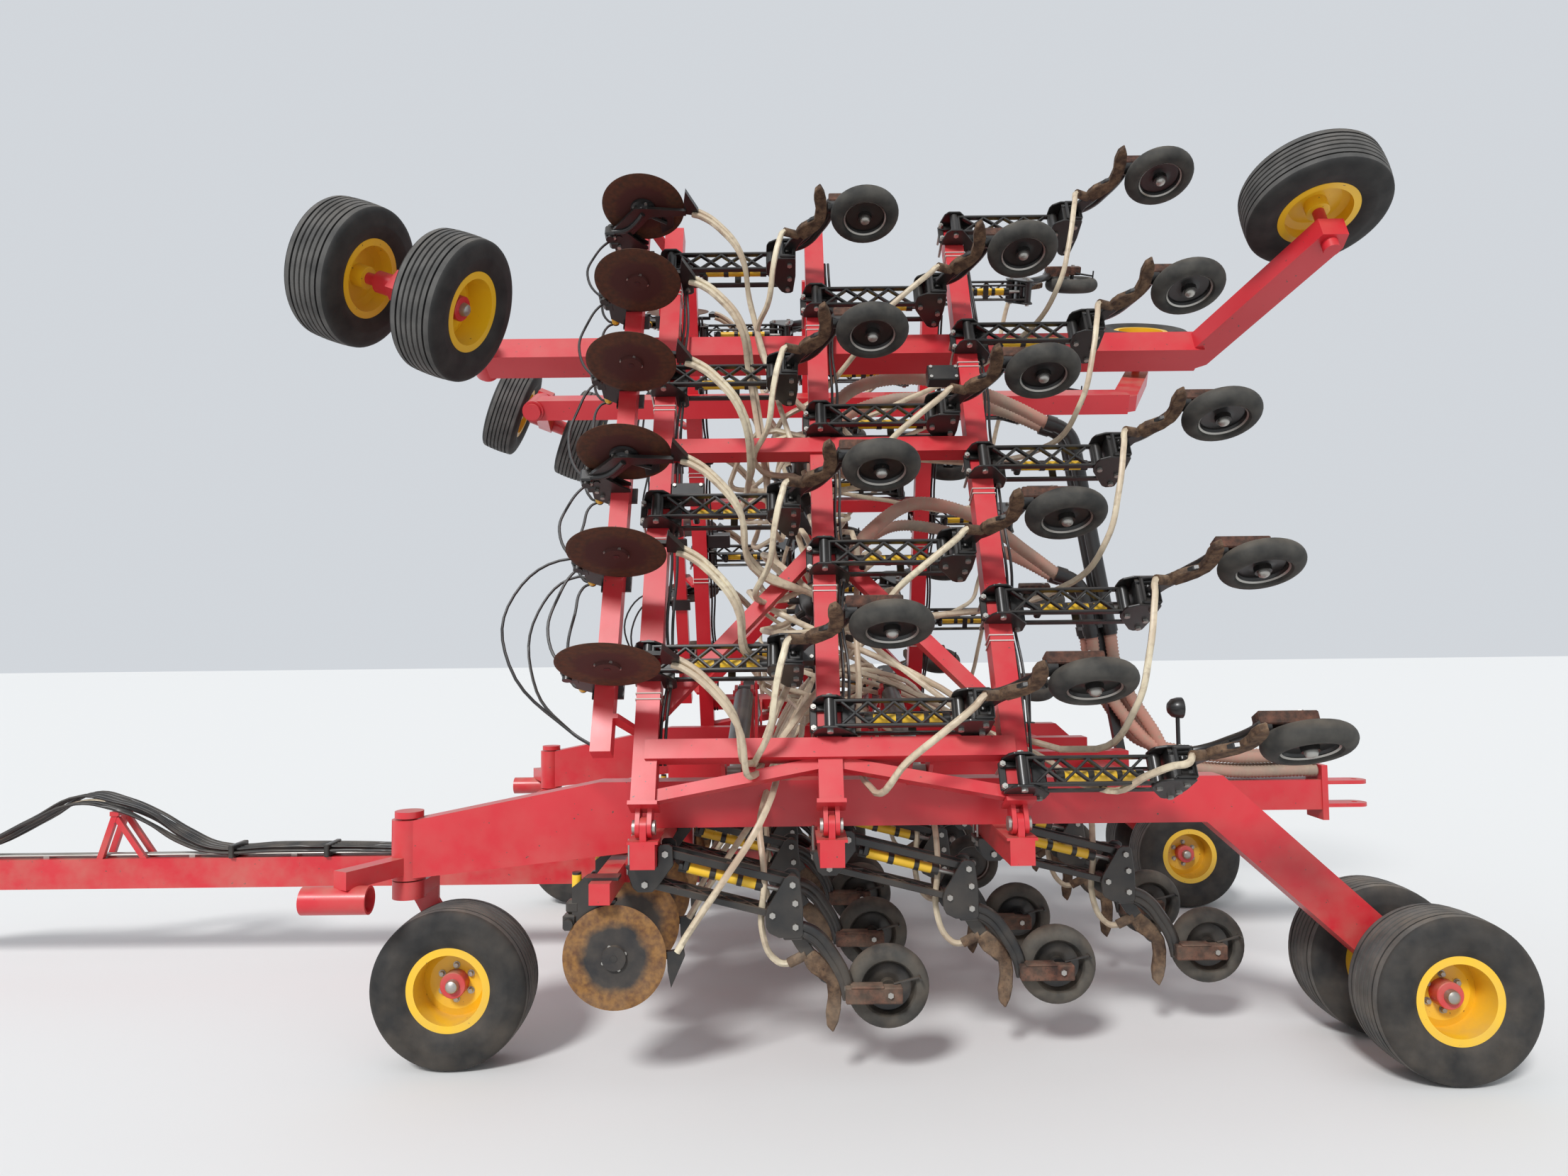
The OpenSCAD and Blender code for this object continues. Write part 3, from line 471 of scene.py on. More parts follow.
RANKS = [0.505, 1.419, 2.333]
ROW = 0.305
HINGE_Y = hinge.y
RANK_Z = 1.160
WING_RANK = -0.050
WING_ROWS = [[2, 5, 8, 11], [1, 4, 7, 10], [0, 3, 6, 9, 12]]
CENTRE_ROWS = [[0, 3, 6], [2, 5], [1, 4]]
LINK = 0.640
LINK_WIDE = 0.146
CENTRE_DROP = math.radians(14)
CYLINDER_DROP = -0.058
PACKER_BACK = 1.205
PACKER_DROP = 0.520
TUBE = 0.120
CHEEK = 0.081
CHEEK_THICK = 0.012


def row_u(t):
    """Place of a wing's row out from the hinge."""
    return (0.5 + t) * ROW + 7 * ROW - HINGE_Y


def wing_points(side):
    """Where the openers of one wing hang: rank and matrix of each."""
    return [
        (i, wing_place[side] @ Matrix.Translation((RANKS[i], row_u(t), WING_RANK)))
        for i in range(3) for t in WING_ROWS[i]
    ]


def centre_points():
    """Where the openers of the centre section hang."""
    found = []
    for i in range(3):
        for j in CENTRE_ROWS[i]:
            for sign in SIDES.values():
                flip = Matrix.Diagonal((1, sign, 1, 1))
                found.append((i, flip @ Matrix.Translation((RANKS[i], (0.5 + j) * ROW, RANK_Z))))
    return found


def leaned(pieces, start, lean):
    """Pieces made along +X, joined, leaned about Y and set at their start."""
    piece = joined(pieces)
    piece.data.transform(Matrix.Translation(start) @ Matrix.Rotation(lean, 4, "Y"))
    return piece


def link_ladder(bays=4):
    """The lower link: two cast rails with crossed webs between them, and a boss at each end."""
    rail = 0.016
    tall = 0.034
    first = 0.060
    past = 0.024
    gap = LINK_WIDE - 2 * rail
    pitch = (LINK - 2 * first) / bays
    parts = []
    for s in (-1, 1):
        y = s * (LINK_WIDE - rail) / 2
        parts.append(billet((-past, y - rail / 2, -tall / 2), (LINK + past, y + rail / 2, tall / 2), 0.004))
    for x in (-past, LINK - first + past):
        parts.append(billet((x, -LINK_WIDE / 2 + 0.003, -tall / 2 + 0.001),
                            (x + first, LINK_WIDE / 2 - 0.003, tall / 2 - 0.001), 0.007))
    for x in (0.0, LINK):
        parts.append(rod((x, -LINK_WIDE / 2 + 0.001, 0), (x, LINK_WIDE / 2 - 0.001, 0), 0.028, 16, 0.004))
    diagonal = math.hypot(gap, pitch) + 0.006
    for i in range(bays):
        for s in (-1, 1):
            web = billet((-diagonal / 2, -0.0065, -tall * 0.38), (diagonal / 2, 0.0065, tall * 0.38), 0.003)
            middle = (first + (i + 0.5) * pitch, 0, 0)
            crossed = Matrix.Rotation(s * math.atan2(gap, pitch), 4, "Z")
            web.data.transform(Matrix.Translation(middle) @ crossed)
            parts.append(web)
    return parts


def knuckle_casting(black, bolts):
    """The knuckle about its lower pin: two cheeks, a cross wall, and a pocketed face below."""
    for s in (-1, 1):
        black.append(cut_plate([
            (-0.032, -0.060), (-0.036, 0.000), (-0.026, 0.034), (0.060, 0.176), (0.084, 0.190),
            (0.118, 0.188), (0.134, 0.176), (0.150, 0.040), (0.150, -0.096), (0.138, -0.110),
            (0.030, -0.110), (-0.018, -0.086)
        ], s * CHEEK, CHEEK_THICK))
        for x, z in ((0.0, 0.0), (0.100, 0.146), (0.112, 0.058), (0.112, -0.056)):
            bolts.append(rod((x, s * 0.086, z), (x, s * 0.101, z), 0.016, 6))
        black.append(billet((0.052, s * 0.068 - 0.010, -0.124), (0.150, s * 0.068 + 0.010, -0.066), 0.006))
    for x in (0.052, 0.128):
        black.append(billet((x, -0.074, -0.124), (x + 0.022, 0.074, -0.066), 0.006))
    black.append(billet((0.062, -0.066, -0.092), (0.142, 0.066, -0.076), 0.003))
    black.append(rod((0.098, -0.030, -0.098), (0.098, 0.030, -0.098), 0.016, 12, 0.004))
    black.append(billet((0.036, -0.075, -0.096), (0.060, 0.075, 0.060), 0.004))
    for x, z in ((0.0, 0.0), (0.100, 0.146)):
        black.append(rod((x, -0.072, z), (x, 0.072, z), 0.026, 16, 0.003))


def opener_parts(drop):
    """The pieces of one opener by material, about the middle of its rank tube."""
    low = Vector((0, 0, -0.150))
    up = Vector((0.100, 0, -0.004))
    knuckle = low + Vector((LINK * math.cos(drop), 0, -LINK * math.sin(drop)))
    axle = knuckle + Vector((PACKER_BACK - LINK, 0, -PACKER_DROP + 0.150))
    under = -TUBE / 2 - 0.0005
    black = []
    bolts = []
    # the clamp: two arms under the rank tube, joined behind it, and two cheeks down to the pins
    black.append(billet((0.062, -0.086, under - 0.016), (0.132, 0.086, under), 0.005))
    black.append(billet((-0.098, -0.070, under - 0.014), (-0.062, 0.070, under - 0.002), 0.004))
    for s in (-1, 1):
        black.append(billet((-0.094, s * 0.056 - 0.018, under - 0.022), (0.070, s * 0.056 + 0.018, under),
                            0.006))
        black.append(cut_plate([
            (-0.082, -0.064), (0.062, -0.064), (0.064, 0.030), (0.074, 0.042), (0.118, 0.042),
            (0.136, 0.026), (0.140, -0.060), (0.062, -0.162), (0.036, -0.188), (-0.036, -0.188),
            (-0.062, -0.164), (-0.084, -0.100)
        ], s * CHEEK, CHEEK_THICK))
        bolts.append(rod((-0.080, s * 0.056, under - 0.046), (-0.080, s * 0.056, under - 0.018), 0.015, 6))
        bolts.append(rod((-0.080, s * 0.056, under - 0.052), (-0.080, s * 0.056, under + 0.126), 0.008, 8))
        for at in (low, up):
            bolts.append(rod((at.x, s * 0.086, at.z), (at.x, s * 0.101, at.z), 0.017, 6))
    black.append(leaned(link_ladder(), low, drop))
    # the upper link's two straps, and the lift cylinder hung below them
    straps = [billet((-0.020, s * 0.052 - 0.006, -0.019), (LINK + 0.020, s * 0.052 + 0.006, 0.019), 0.003)
              for s in (-1, 1)]
    straps += [rod((x, -0.060, 0), (x, 0.060, 0), 0.024, 14, 0.003) for x in (0.0, LINK)]
    straps.append(billet((LINK / 2 - 0.020, -0.054, -0.008), (LINK / 2 + 0.020, 0.054, 0.008), 0.003))
    straps.append(billet((0.092, -0.034, CYLINDER_DROP - 0.012), (0.128, 0.034, -0.006), 0.008))
    straps += [rod((a, 0, CYLINDER_DROP), (b, 0, CYLINDER_DROP), r, 20, 0.003)
               for a, b, r in ((0.076, 0.118, 0.0295), (0.232, 0.262, 0.0300), (0.372, 0.398, 0.0300),
                               (0.466, 0.504, 0.0295))]
    straps.append(rod((0.604, -0.034, CYLINDER_DROP), (0.604, 0.034, CYLINDER_DROP), 0.021, 14, 0.003))
    black.append(leaned(straps, up, drop))
    sleeve = leaned([rod((0.100, 0, CYLINDER_DROP), (0.480, 0, CYLINDER_DROP), 0.027, 24, 0.003)], up, drop)
    bolts.append(leaned([rod((0.480, 0, CYLINDER_DROP), (0.600, 0, CYLINDER_DROP), 0.0122, 12)], up, drop))
    # the knuckle, the knife down from it, and the arm that bends outward past it to the packer
    rear = []
    rear_bolts = []
    knuckle_casting(rear, rear_bolts)
    rear.append(cut_plate([
        (0.056, 0.056), (0.066, 0.066), (0.112, 0.066), (0.124, 0.056), (0.150, -0.090), (0.176, -0.150),
        (0.212, -0.204), (0.292, -0.282), (0.304, -0.300), (0.300, -0.356), (0.286, -0.366), (0.240, -0.346),
        (0.200, -0.300), (0.168, -0.246), (0.118, -0.186), (0.084, -0.130)
    ], 0.0, 0.026, 0.004))
    arm = [(0.050, 0.058, -0.052), (0.150, 0.060, -0.062), (0.225, 0.064, -0.100), (0.292, 0.068, -0.185),
           (0.350, 0.070, -0.290), (0.372, 0.074, -0.380)]
    rear += [swept(arm, 0.026), swept([(x - 0.014, y, z - 0.030) for x, y, z in arm], 0.021),
             swept([(0.100, 0.004, -0.090), (0.200, 0.026, -0.150), (0.280, 0.058, -0.230)], 0.015)]
    rear.append(rod((0.345, 0.068, -0.372), (0.402, 0.068, -0.372), 0.040, 14, 0.006))
    mud = cut_plate([
        (0.150, -0.230), (0.158, -0.262), (0.182, -0.296), (0.262, -0.350), (0.270, -0.420), (0.256, -0.500),
        (0.262, -0.560), (0.292, -0.590), (0.318, -0.540), (0.332, -0.480), (0.336, -0.400), (0.326, -0.330),
        (0.290, -0.270), (0.246, -0.226), (0.200, -0.190)
    ], 0.0, 0.040, 0.006)
    socket = rod((0.166, 0.0, -0.214), (0.080, -0.020, -0.262), 0.026, 14, 0.004)
    boot = joined([mud, socket])
    bpy.ops.object.mode_set(mode="EDIT")
    bpy.ops.mesh.select_all(action="SELECT")
    bpy.ops.mesh.quads_convert_to_tris()
    bpy.ops.mesh.subdivide(number_cuts=2, fractal=0.3, seed=3)
    bpy.ops.object.mode_set(mode="OBJECT")
    casting = joined(rear)
    heads = joined(rear_bolts)
    for piece in (casting, heads, boot):
        piece.data.transform(Matrix.Translation(knuckle))
    # the rusty box over the packer carries its axle, with the scraper's lever out behind
    box = [billet((axle.x - 0.215, 0.074, axle.z - 0.045), (axle.x + 0.060, 0.139, axle.z + 0.034), 0.006),
           billet((axle.x - 0.190, 0.066, axle.z + 0.030), (axle.x - 0.030, 0.144, axle.z + 0.040), 0.003)]
    lever = [rod(axle + Vector((0.020, 0.090, 0.036)), axle + Vector((0.150, 0.070, 0.062)), 0.007, 8),
             rod(axle + Vector((0.150, 0.040, 0.062)), axle + Vector((0.150, 0.110, 0.062)), 0.006, 8)]
    shaft = rod(axle + Vector((0, -0.052, 0)), axle + Vector((0, 0.080, 0)), 0.0155, 12)
    bolts.append(rod(axle + Vector((0, 0.136, 0)), axle + Vector((0, 0.152, 0)), 0.015, 6))
    return {"black_paint": black + lever + [casting, shaft], "yellow_paint": [sleeve],
            "bright_steel": bolts + [heads], "rusty_steel": [boot], "rusty_plate": box}


black_paint = enamel("black enamel", rgb(0.006, 0.006, 0.0065), rgb(0.017, 0.016, 0.015), 0.35,
                     (0.24, 0.5), 0.75)


def rust(name, deep, pale, dust=0.5):
    """Bare steel gone to rust: deep brown with paler, rougher bloom and some dry soil."""
    made = new_material(name)
    add = made[-1]
    base = mixed(add, noise(add, 24.0, 10.0, 0.35, 0.7), deep, pale)
    base = mixed(add, noise(add, 90.0, 5.0, 0.55, 0.75), base, rgb(0.025, 0.014, 0.01))
    base = mixed(add, settled(add, dust), base, DUST)
    return dry(made, base, 0.86, 70.0, 8.0, 0.6, 0.004)


boot_rust = rust("rust and dry soil", rgb(0.045, 0.022, 0.012), rgb(0.17, 0.10, 0.055), 0.7)
plate_rust = rust("rusty plate", rgb(0.030, 0.014, 0.010), rgb(0.13, 0.05, 0.030))
OPENER_LOOKS = {
    "black_paint": (black_paint, "black_paint", "opener_castings_"),
    "yellow_paint": (yellow_paint, "yellow_paint", "opener_sleeves_"),
    "bright_steel": (plated, "bright_steel", "opener_bolts_"),
    "rusty_steel": (boot_rust, None, "opener_boots_"),
    "rusty_plate": (plate_rust, None, "packer_boxes_")
}
OPENER_GROUPS = {
    "centre": ("root", centre_points(), CENTRE_DROP, "centre_openers"),
    "l": ("wing_l", wing_points("l"), 0.0, "wing_openers_l"),
    "r": ("wing_r", wing_points("r"), 0.0, "wing_openers_r")
}
for group, (body, points, drop, node) in OPENER_GROUPS.items():
    for kind, pieces in opener_parts(drop).items():
        material, slot, name = OPENER_LOOKS[kind]
        piece = spread(joined(pieces), [matrix for _, matrix in points])
        named(piece, name + group, material, body)
        if kind == "black_paint":
            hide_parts(node)


# Thin straps of white cord tie the hoses to the rank tubes, in pairs beside each opener.
# They go square round the tube and lie close on its paint.
def tube_tie(radius=0.0032):
    """One strap round a rank tube, about the tube's middle."""
    side = TUBE / 2 + radius + 0.0005
    corners = [(-side, -side), (side, -side), (side, side), (-side, side)]
    return joined([rod((a[0], 0, a[1]), (b[0], 0, b[1]), radius, 6, 0.001)
                   for a, b in zip(corners, corners[1:] + corners[:1])])


TIE_OFFSETS = (-0.150, -0.182)
tie_cord = enamel("white cord", rgb(0.72, 0.70, 0.66), rgb(0.55, 0.50, 0.44), 0.3, (0.5, 0.7), 0.9)
for side in SIDES:
    places = [wing_place[side] @ Matrix.Translation((RANKS[i], row_u(t) + offset, WING_RANK))
              for i in range(3) for t in WING_ROWS[i] if t > 0 for offset in TIE_OFFSETS]
    named(spread(tube_tie(), places), "hose_ties_" + side, tie_cord, "wing_" + side)


# The packer wheels: a round rubber tyre moulded on a dished steel disc, behind each opener.
# The disc is black, with a domed cap over its bearing and a thin bright ring at its edge, which is a painted
# highlight where the rim catches the light.
packer_rubber = rubber("packer rubber", rgb(0.018, 0.018, 0.017), rgb(0.075, 0.07, 0.06), 0.45, 0.8)
PACKER_OD = 0.410
PACKER_WIDE = 0.110


def packer_tyre():
    """The round tyre of a packer, turned about Y."""
    outer = PACKER_OD / 2
    half = PACKER_WIDE / 2
    mid = outer - half * 1.05
    arc = [(mid + half * 1.05 * math.cos(a), half * math.sin(a))
           for a in (math.radians(d) for d in range(-90, 91, 15))]
    return turned([(0.128, -half * 0.72), (mid - 0.010, -half * 0.96)] + arc
                  + [(mid - 0.010, half * 0.96), (0.128, half * 0.72)], 40)


def packer_disc():
    """The dished disc of a packer with its hub, turned about Y."""
    return turned([
        (0.016, -0.044), (0.040, -0.044), (0.042, -0.016), (0.070, -0.010), (0.100, -0.016), (0.116, -0.014),
        (0.128, -0.036), (0.131, -0.040), (0.131, 0.040), (0.128, 0.036), (0.116, 0.006), (0.100, 0.000),
        (0.070, 0.006), (0.042, 0.002), (0.040, 0.044), (0.016, 0.044)
    ], 40)


def packer_cap():
    """The domed bright cap on a packer's hub, and a thin bright ring at its disc's edge that is a painted
    highlight.
    """
    cap = turned([(0.0005, -0.043), (0.030, -0.043), (0.030, -0.052), (0.026, -0.062), (0.016, -0.069),
                  (0.0005, -0.071)], 24)
    # painted highlight: a ring of bright plated steel laid on the disc's edge where the rim catches the
    # light
    highlight_ring = turned([(0.1180, -0.0330), (0.1262, -0.0400), (0.1275, -0.0385), (0.1195, -0.0310)], 40)
    return joined([cap, highlight_ring])


def packer_at(drop):
    """Place of a packer's axle behind and below its rank tube."""
    return Vector((PACKER_BACK - LINK * (1 - math.cos(drop)), 0, -PACKER_DROP - LINK * math.sin(drop)))


for group, (body, points, drop, node) in OPENER_GROUPS.items():
    for i in range(3):
        places = [matrix @ Matrix.Translation(packer_at(drop)) for rank, matrix in points if rank == i]
        wheel = "%s_packers_%d" % ("centre" if group == "centre" else "wing", i + 1)
        wheel += "" if group == "centre" else "_" + group
        tyre = named(spread(packer_tyre(), places), "tyres_" + wheel, packer_rubber, wheel)
        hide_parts(wheel)
        named(spread(packer_disc(), places), "discs_" + wheel, black_paint, wheel)
        # these pieces hold the real hub caps and the painted highlight ring on each disc's edge
        named(spread(packer_cap(), places), "caps_" + wheel, plated, wheel)


# The banding discs: flat steel coulters with a bolted hub, rusty where the soil has run over them.
# The middle of each is still dark, and the rim is scoured to a paler brown.
def radial(add, point, axis):
    """Distance of a spot from an axle, the line through a point along an axis."""
    place = add("TexCoord").outputs["Object"]
    out = add("VectorMath", {0: place, 1: tuple(point)}, operation="SUBTRACT").outputs["Vector"]
    along = add("VectorMath", {0: out, 1: tuple(axis)}, operation="CROSS_PRODUCT").outputs["Vector"]
    return add("VectorMath", {0: along}, operation="LENGTH").outputs["Value"]


def disc_steel(name, joint_name, rim_colour, bloom, heart):
    """A coulter's steel: a dark heart, a red-brown belt and a paler rusty rim."""
    joint = joints[joint_name]
    material, shader, tree, add = new_material(name)
    far = radial(add, joint["pos_m"], Vector(joint["axis"]).normalized())
    cloud = noise(add, 14.0, 8.0, 0.3, 0.7)
    wobble = add("Math", {0: cloud, 1: 0.03}, operation="MULTIPLY").outputs[0]
    edge = add("Math", {0: far, 1: wobble}, operation="ADD").outputs[0]
    belt = add("MapRange", {"Value": edge, "From Min": 0.155, "From Max": 0.195}).outputs["Result"]
    base = mixed(add, noise(add, 40.0, 8.0, 0.35, 0.7), rim_colour, bloom)
    base = mixed(add, belt, heart, base)
    base = mixed(add, settled(add, 0.5), base, DUST)
    tree.links.new(base, shader.inputs["Base Color"])
    shader.inputs["Roughness"].default_value = 0.72
    shader.inputs["Metallic"].default_value = 0.15
    bump = add("Bump", {"Height": noise(add, 60.0, 8.0), "Strength": 0.3, "Distance": 0.002})
    tree.links.new(bump.outputs["Normal"], shader.inputs["Normal"])
    return material


wear(["centre_discs"], disc_steel("coulter steel, centre", "centre_disc_spin", rgb(0.27, 0.13, 0.035),
                                  rgb(0.12, 0.05, 0.02), rgb(0.02, 0.02, 0.022)))
for side in SIDES:
    wear(["wing_discs_" + side], disc_steel(
        "coulter steel, wing " + side, "wing_disc_spin_" + side, rgb(0.10, 0.03, 0.012),
        rgb(0.05, 0.02, 0.01), rgb(0.06, 0.012, 0.009)))
wear(["centre_banders", "wing_banders_l", "wing_banders_r", "cylinder_barrels_l", "cylinder_barrels_r",
      "air_tower"], black_paint)
wear(["hinge_pins", "hydraulic_lines", "cylinder_rods_l", "cylinder_rods_r"], plated)


# The banders' fittings: a bolted hub on each disc, the swivel block ahead of each clamp with its
# yellow collar, and the small bolts of the clamps. They hang from the toolbars ahead of the front rank.
BAR_BACK = -0.196
BAR_DROP = 0.160
DISC_BACK = 0.057
DISC_DROP = 0.320
BAND_PLACES = [2, 4, 6, 8, 10, 12]
CENTRE_BANDS = [1, 3, 5, 7]
LIFT = (-0.132, -0.046)
bar_x = RANKS[0] + BAR_BACK


def wing_bands():
    """Places of a wing's banders, in the wing's own place. Every third has its arm on the other side."""
    return [Matrix.Translation((bar_x, k * ROW + 0.020, WING_RANK - BAR_DROP))
            @ Matrix.Diagonal((1, 1 if n % 3 == 2 else -1, 1, 1)) for n, k in enumerate(BAND_PLACES)]


def bander_points():
    """The body and places of each section's banders: the middle of its toolbar, arm at -y."""
    centre = []
    for n in CENTRE_BANDS:
        for sign in SIDES.values():
            flip = Matrix.Diagonal((1, sign, 1, 1))
            centre.append(flip @ Matrix.Translation((bar_x, n * ROW, RANK_Z - BAR_DROP)))
    found = {"centre": ("root", centre)}
    for side in SIDES:
        found[side] = ("wing_" + side, [wing_place[side] @ place for place in wing_bands()])
    return found


def bander_castings():
    """The swivel block, the hub's carrier, the lever and the scraper of one bander."""
    hub = turned([(0.017, -0.056), (0.046, -0.056), (0.052, -0.034), (0.075, -0.028), (0.078, -0.014),
                  (0.017, -0.014)], 24)
    hub.data.transform(Matrix.Translation((DISC_BACK, 0, -DISC_DROP)))
    swivel = billet((-0.196, -0.086, -0.196), (-0.128, -0.010, -0.118), 0.010)
    head = billet((-0.182, -0.080, -0.118), (-0.112, -0.016, -0.052), 0.014)
    ear = rod((-0.165, -0.100, -0.160), (-0.165, 0.010, -0.160), 0.024, 14, 0.004)
    lever = swept([(-0.150, -0.060, -0.180), (-0.060, -0.064, -0.200), (0.020, -0.062, -0.270),
                   (DISC_BACK, -0.060, -DISC_DROP)], 0.017)
    scraper = cut_plate([(0.150, -0.130), (0.230, -0.180), (0.236, -0.260), (0.180, -0.300),
                         (0.150, -0.230)], -0.018, 0.006, 0.001)
    brace = rod((DISC_BACK, -0.052, -DISC_DROP), (0.190, -0.030, -0.220), 0.010, 8)
    return [hub, swivel, head, ear, lever, scraper, brace]


def bander_bolts():
    """The bright bolt heads and the pin of one bander."""
    heads = []
    for x, z in ((-0.140, -0.160), (-0.100, -0.020), (-0.066, 0.040), (-0.120, -0.080)):
        heads.append(rod((x, -0.092, z), (x, -0.074, z), 0.013, 6))
    for a in (i * math.pi / 2 + 0.4 for i in range(4)):
        at = Vector((DISC_BACK + 0.058 * math.cos(a), 0, -DISC_DROP + 0.058 * math.sin(a)))
        heads.append(rod(at + Vector((0, -0.040, 0)), at + Vector((0, -0.026, 0)), 0.010, 6))
        heads.append(rod(at + Vector((0, 0.005, 0)), at + Vector((0, 0.014, 0)), 0.009, 6))
    heads.append(rod((*LIFT, -0.200), (*LIFT, -0.110), 0.011, 10))
    return heads


for group, (body, places) in bander_points().items():
    castings = spread(joined(bander_castings()), places)
    named(castings, "bander_castings_" + group, black_paint, body)
    named(spread(joined(bander_bolts()), places), "bander_bolts_" + group, plated, body)
    collars = joined([rod((*LIFT, z0), (*LIFT, z1), 0.0235, 16, 0.003)
                      for z0, z1 in ((-0.104, -0.040), (0.004, 0.068))])
    named(spread(collars, places), "bander_collars_" + group, yellow_paint, body)


# The hoses: ribbed primaries from the air riser to the heads, a pale seed hose from a head to each
# boot, and black oil hoses. Each is clipped or clamped at both its ends and hangs a little between.
def hose(points, radius):
    """A plain hose through points."""
    return swept(points, radius, 1, 6, 60, "MINIMUM")


def plastic(name, colour, aged, rough=0.5, dust=0.5):
    """Soft hose plastic, aged unevenly, with dust along its upper side."""
    made = new_material(name)
    add = made[-1]
    base = mixed(add, noise(add, 3.0, 6.0, 0.35, 0.7), colour, aged)
    base = mixed(add, noise(add, 30.0, 6.0, 0.5, 0.8), base, DUST)
    base = mixed(add, settled(add, dust), base, DUST)
    return dry(made, base, rough, 60.0, 5.0, 0.15)


def smooth_line(points, pitch):
    """Points a pitch apart along a smooth curve through the given points."""
    knots = [Vector(p) for p in points]
    knots = [2 * knots[0] - knots[1]] + knots + [2 * knots[-1] - knots[-2]]
    fine = []
    for i in range(1, len(knots) - 2):
        a, b, c, d = knots[i - 1:i + 3]
        for step in range(24):
            t = step / 24
            fine.append(0.5 * (2 * b + (c - a) * t + (2 * a - 5 * b + 4 * c - d) * t ** 2
                               + (3 * b - a - 3 * c + d) * t ** 3))
    fine.append(knots[-2])
    line = [fine[0]]
    left = pitch
    for p, q in zip(fine, fine[1:]):
        length = (q - p).length
        walked = 0.0
        while length - walked >= left:
            walked += left
            line.append(p.lerp(q, walked / length))
            left = pitch
        left -= length - walked
    return line


def ribbed_hose(points, radius, pitch=0.024, sides=14):
    """A corrugated hose along points: its wall stands out and in from ring to ring."""
    line = smooth_line(points, pitch / 2)
    rings = len(line) + 2
    bpy.ops.mesh.primitive_grid_add(x_subdivisions=sides, y_subdivisions=rings - 1, size=1)
    piece = bpy.context.object
    side = None
    place = 0
    for ring in range(rings):
        i = min(max(ring - 1, 0), len(line) - 1)
        way = (line[min(i + 1, len(line) - 1)] - line[max(i - 1, 0)]).normalized()
        side = way.orthogonal() if side is None else side - way * side.dot(way)
        side.normalize()
        other = way.cross(side)
        around = 0.0002 if ring in (0, rings - 1) else radius * (1.0 if i % 2 else 0.86)
        for j in range(sides + 1):
            angle = 2 * math.pi * j / sides
            out = math.cos(angle) * side + math.sin(angle) * other
            piece.data.vertices[place].co = line[i] + around * out
            place += 1
    bpy.ops.object.mode_set(mode="EDIT")
    bpy.ops.mesh.select_all(action="SELECT")
    bpy.ops.mesh.remove_doubles(threshold=0.0004)
    bpy.ops.mesh.normals_make_consistent(inside=False)
    bpy.ops.object.mode_set(mode="OBJECT")
    bpy.ops.object.shade_smooth_by_angle(angle=math.radians(70))
    return piece


seed_plastic = plastic("seed hose", rgb(0.66, 0.58, 0.42), rgb(0.46, 0.34, 0.24), 0.42, 0.35)
ribbed_plastic = plastic("ribbed hose", rgb(0.50, 0.24, 0.18), rgb(0.27, 0.22, 0.17), 0.7, 0.6)
oil_rubber = rubber("oil hose", rgb(0.010, 0.010, 0.011), rgb(0.03, 0.029, 0.028), 0.3, 0.42)
SEED_RADIUS = 0.0175
OIL_RADIUS = 0.0080
HEADS = [Vector((1.419, 1.42, 0.345)), Vector((1.300, 2.18, 0.345))]
HEAD_FOOT = [0.010, -0.030]
OUTLETS = 10
FALLS = [
    [(-0.030, -0.080, -0.010), (-0.070, -0.240, 0.050), (-0.100, -0.400, 0.180), (-0.180, -0.500, 0.420)],
    [(-0.050, -0.050, 0.000), (-0.200, -0.160, 0.050), (-0.360, -0.260, 0.160), (-0.500, -0.340, 0.400)],
    [(-0.030, -0.100, -0.020), (-0.090, -0.380, 0.030), (-0.160, -0.620, 0.160), (-0.300, -0.740, 0.420)]
]
BOOT_END = Vector((LINK + 0.080, -0.020, -0.412))
BAND_BOOT = Vector((DISC_BACK + 0.300, -0.027, -DISC_DROP + 0.020))
BAND_SHIFTS = (-0.018, 0.018)
UPRIGHT = Matrix.Rotation(math.pi / 2, 4, "X")
NEAR_HINGE = 0.14
INNER_ROWS = 7
INNER_BANDS = 3


def to_head(head, outlet):
    """The last stretch of a hose, in the wing's place: out in front of its outlet, and into it."""
    angle = 2 * math.pi * outlet / OUTLETS
    way = Vector((math.cos(angle), math.sin(angle), 0))
    return [head + 0.42 * way + Vector((0, 0, -0.10)), head + 0.27 * way, head + 0.19 * way]


def seed_route(i, t, head, outlet):
    """A wing's seed hose, in the wing's own place: from its boot, into the frame and to a head."""
    start = Vector((RANKS[i], row_u(t), WING_RANK)) + BOOT_END
    loose = random.uniform(-0.05, 0.05)
    falls = [start + Vector(p) * (1 + loose) for p in FALLS[i]]
    for fall in falls:
        fall.y = max(fall.y, NEAR_HINGE)
    last = to_head(head, outlet)
    inward = falls[-1].lerp(last[0], 0.5) + Vector((loose, loose, 0.06))
    return [start + Vector((0.024, 0.006, 0.014)), start] + falls + [inward] + last


def band_route(place, shift, head, outlet):
    """One of a bander's two hoses, in the wing's own place: from its boot back into the frame."""
    start = place @ BAND_BOOT + Vector((0, shift, 0))
    loose = random.uniform(-0.04, 0.04)
    falls = [start + Vector(p) * (1 + loose) for p in (
        (0.050, -0.020, 0.000), (0.170, -0.110, 0.020), (0.300, -0.260, 0.100), (0.350, -0.430, 0.340))]
    for fall in falls:
        fall.y = max(fall.y, NEAR_HINGE)
    last = to_head(head, outlet)
    return [start] + falls + [falls[-1].lerp(last[0], 0.5) + Vector((0, loose, 0.04))] + last


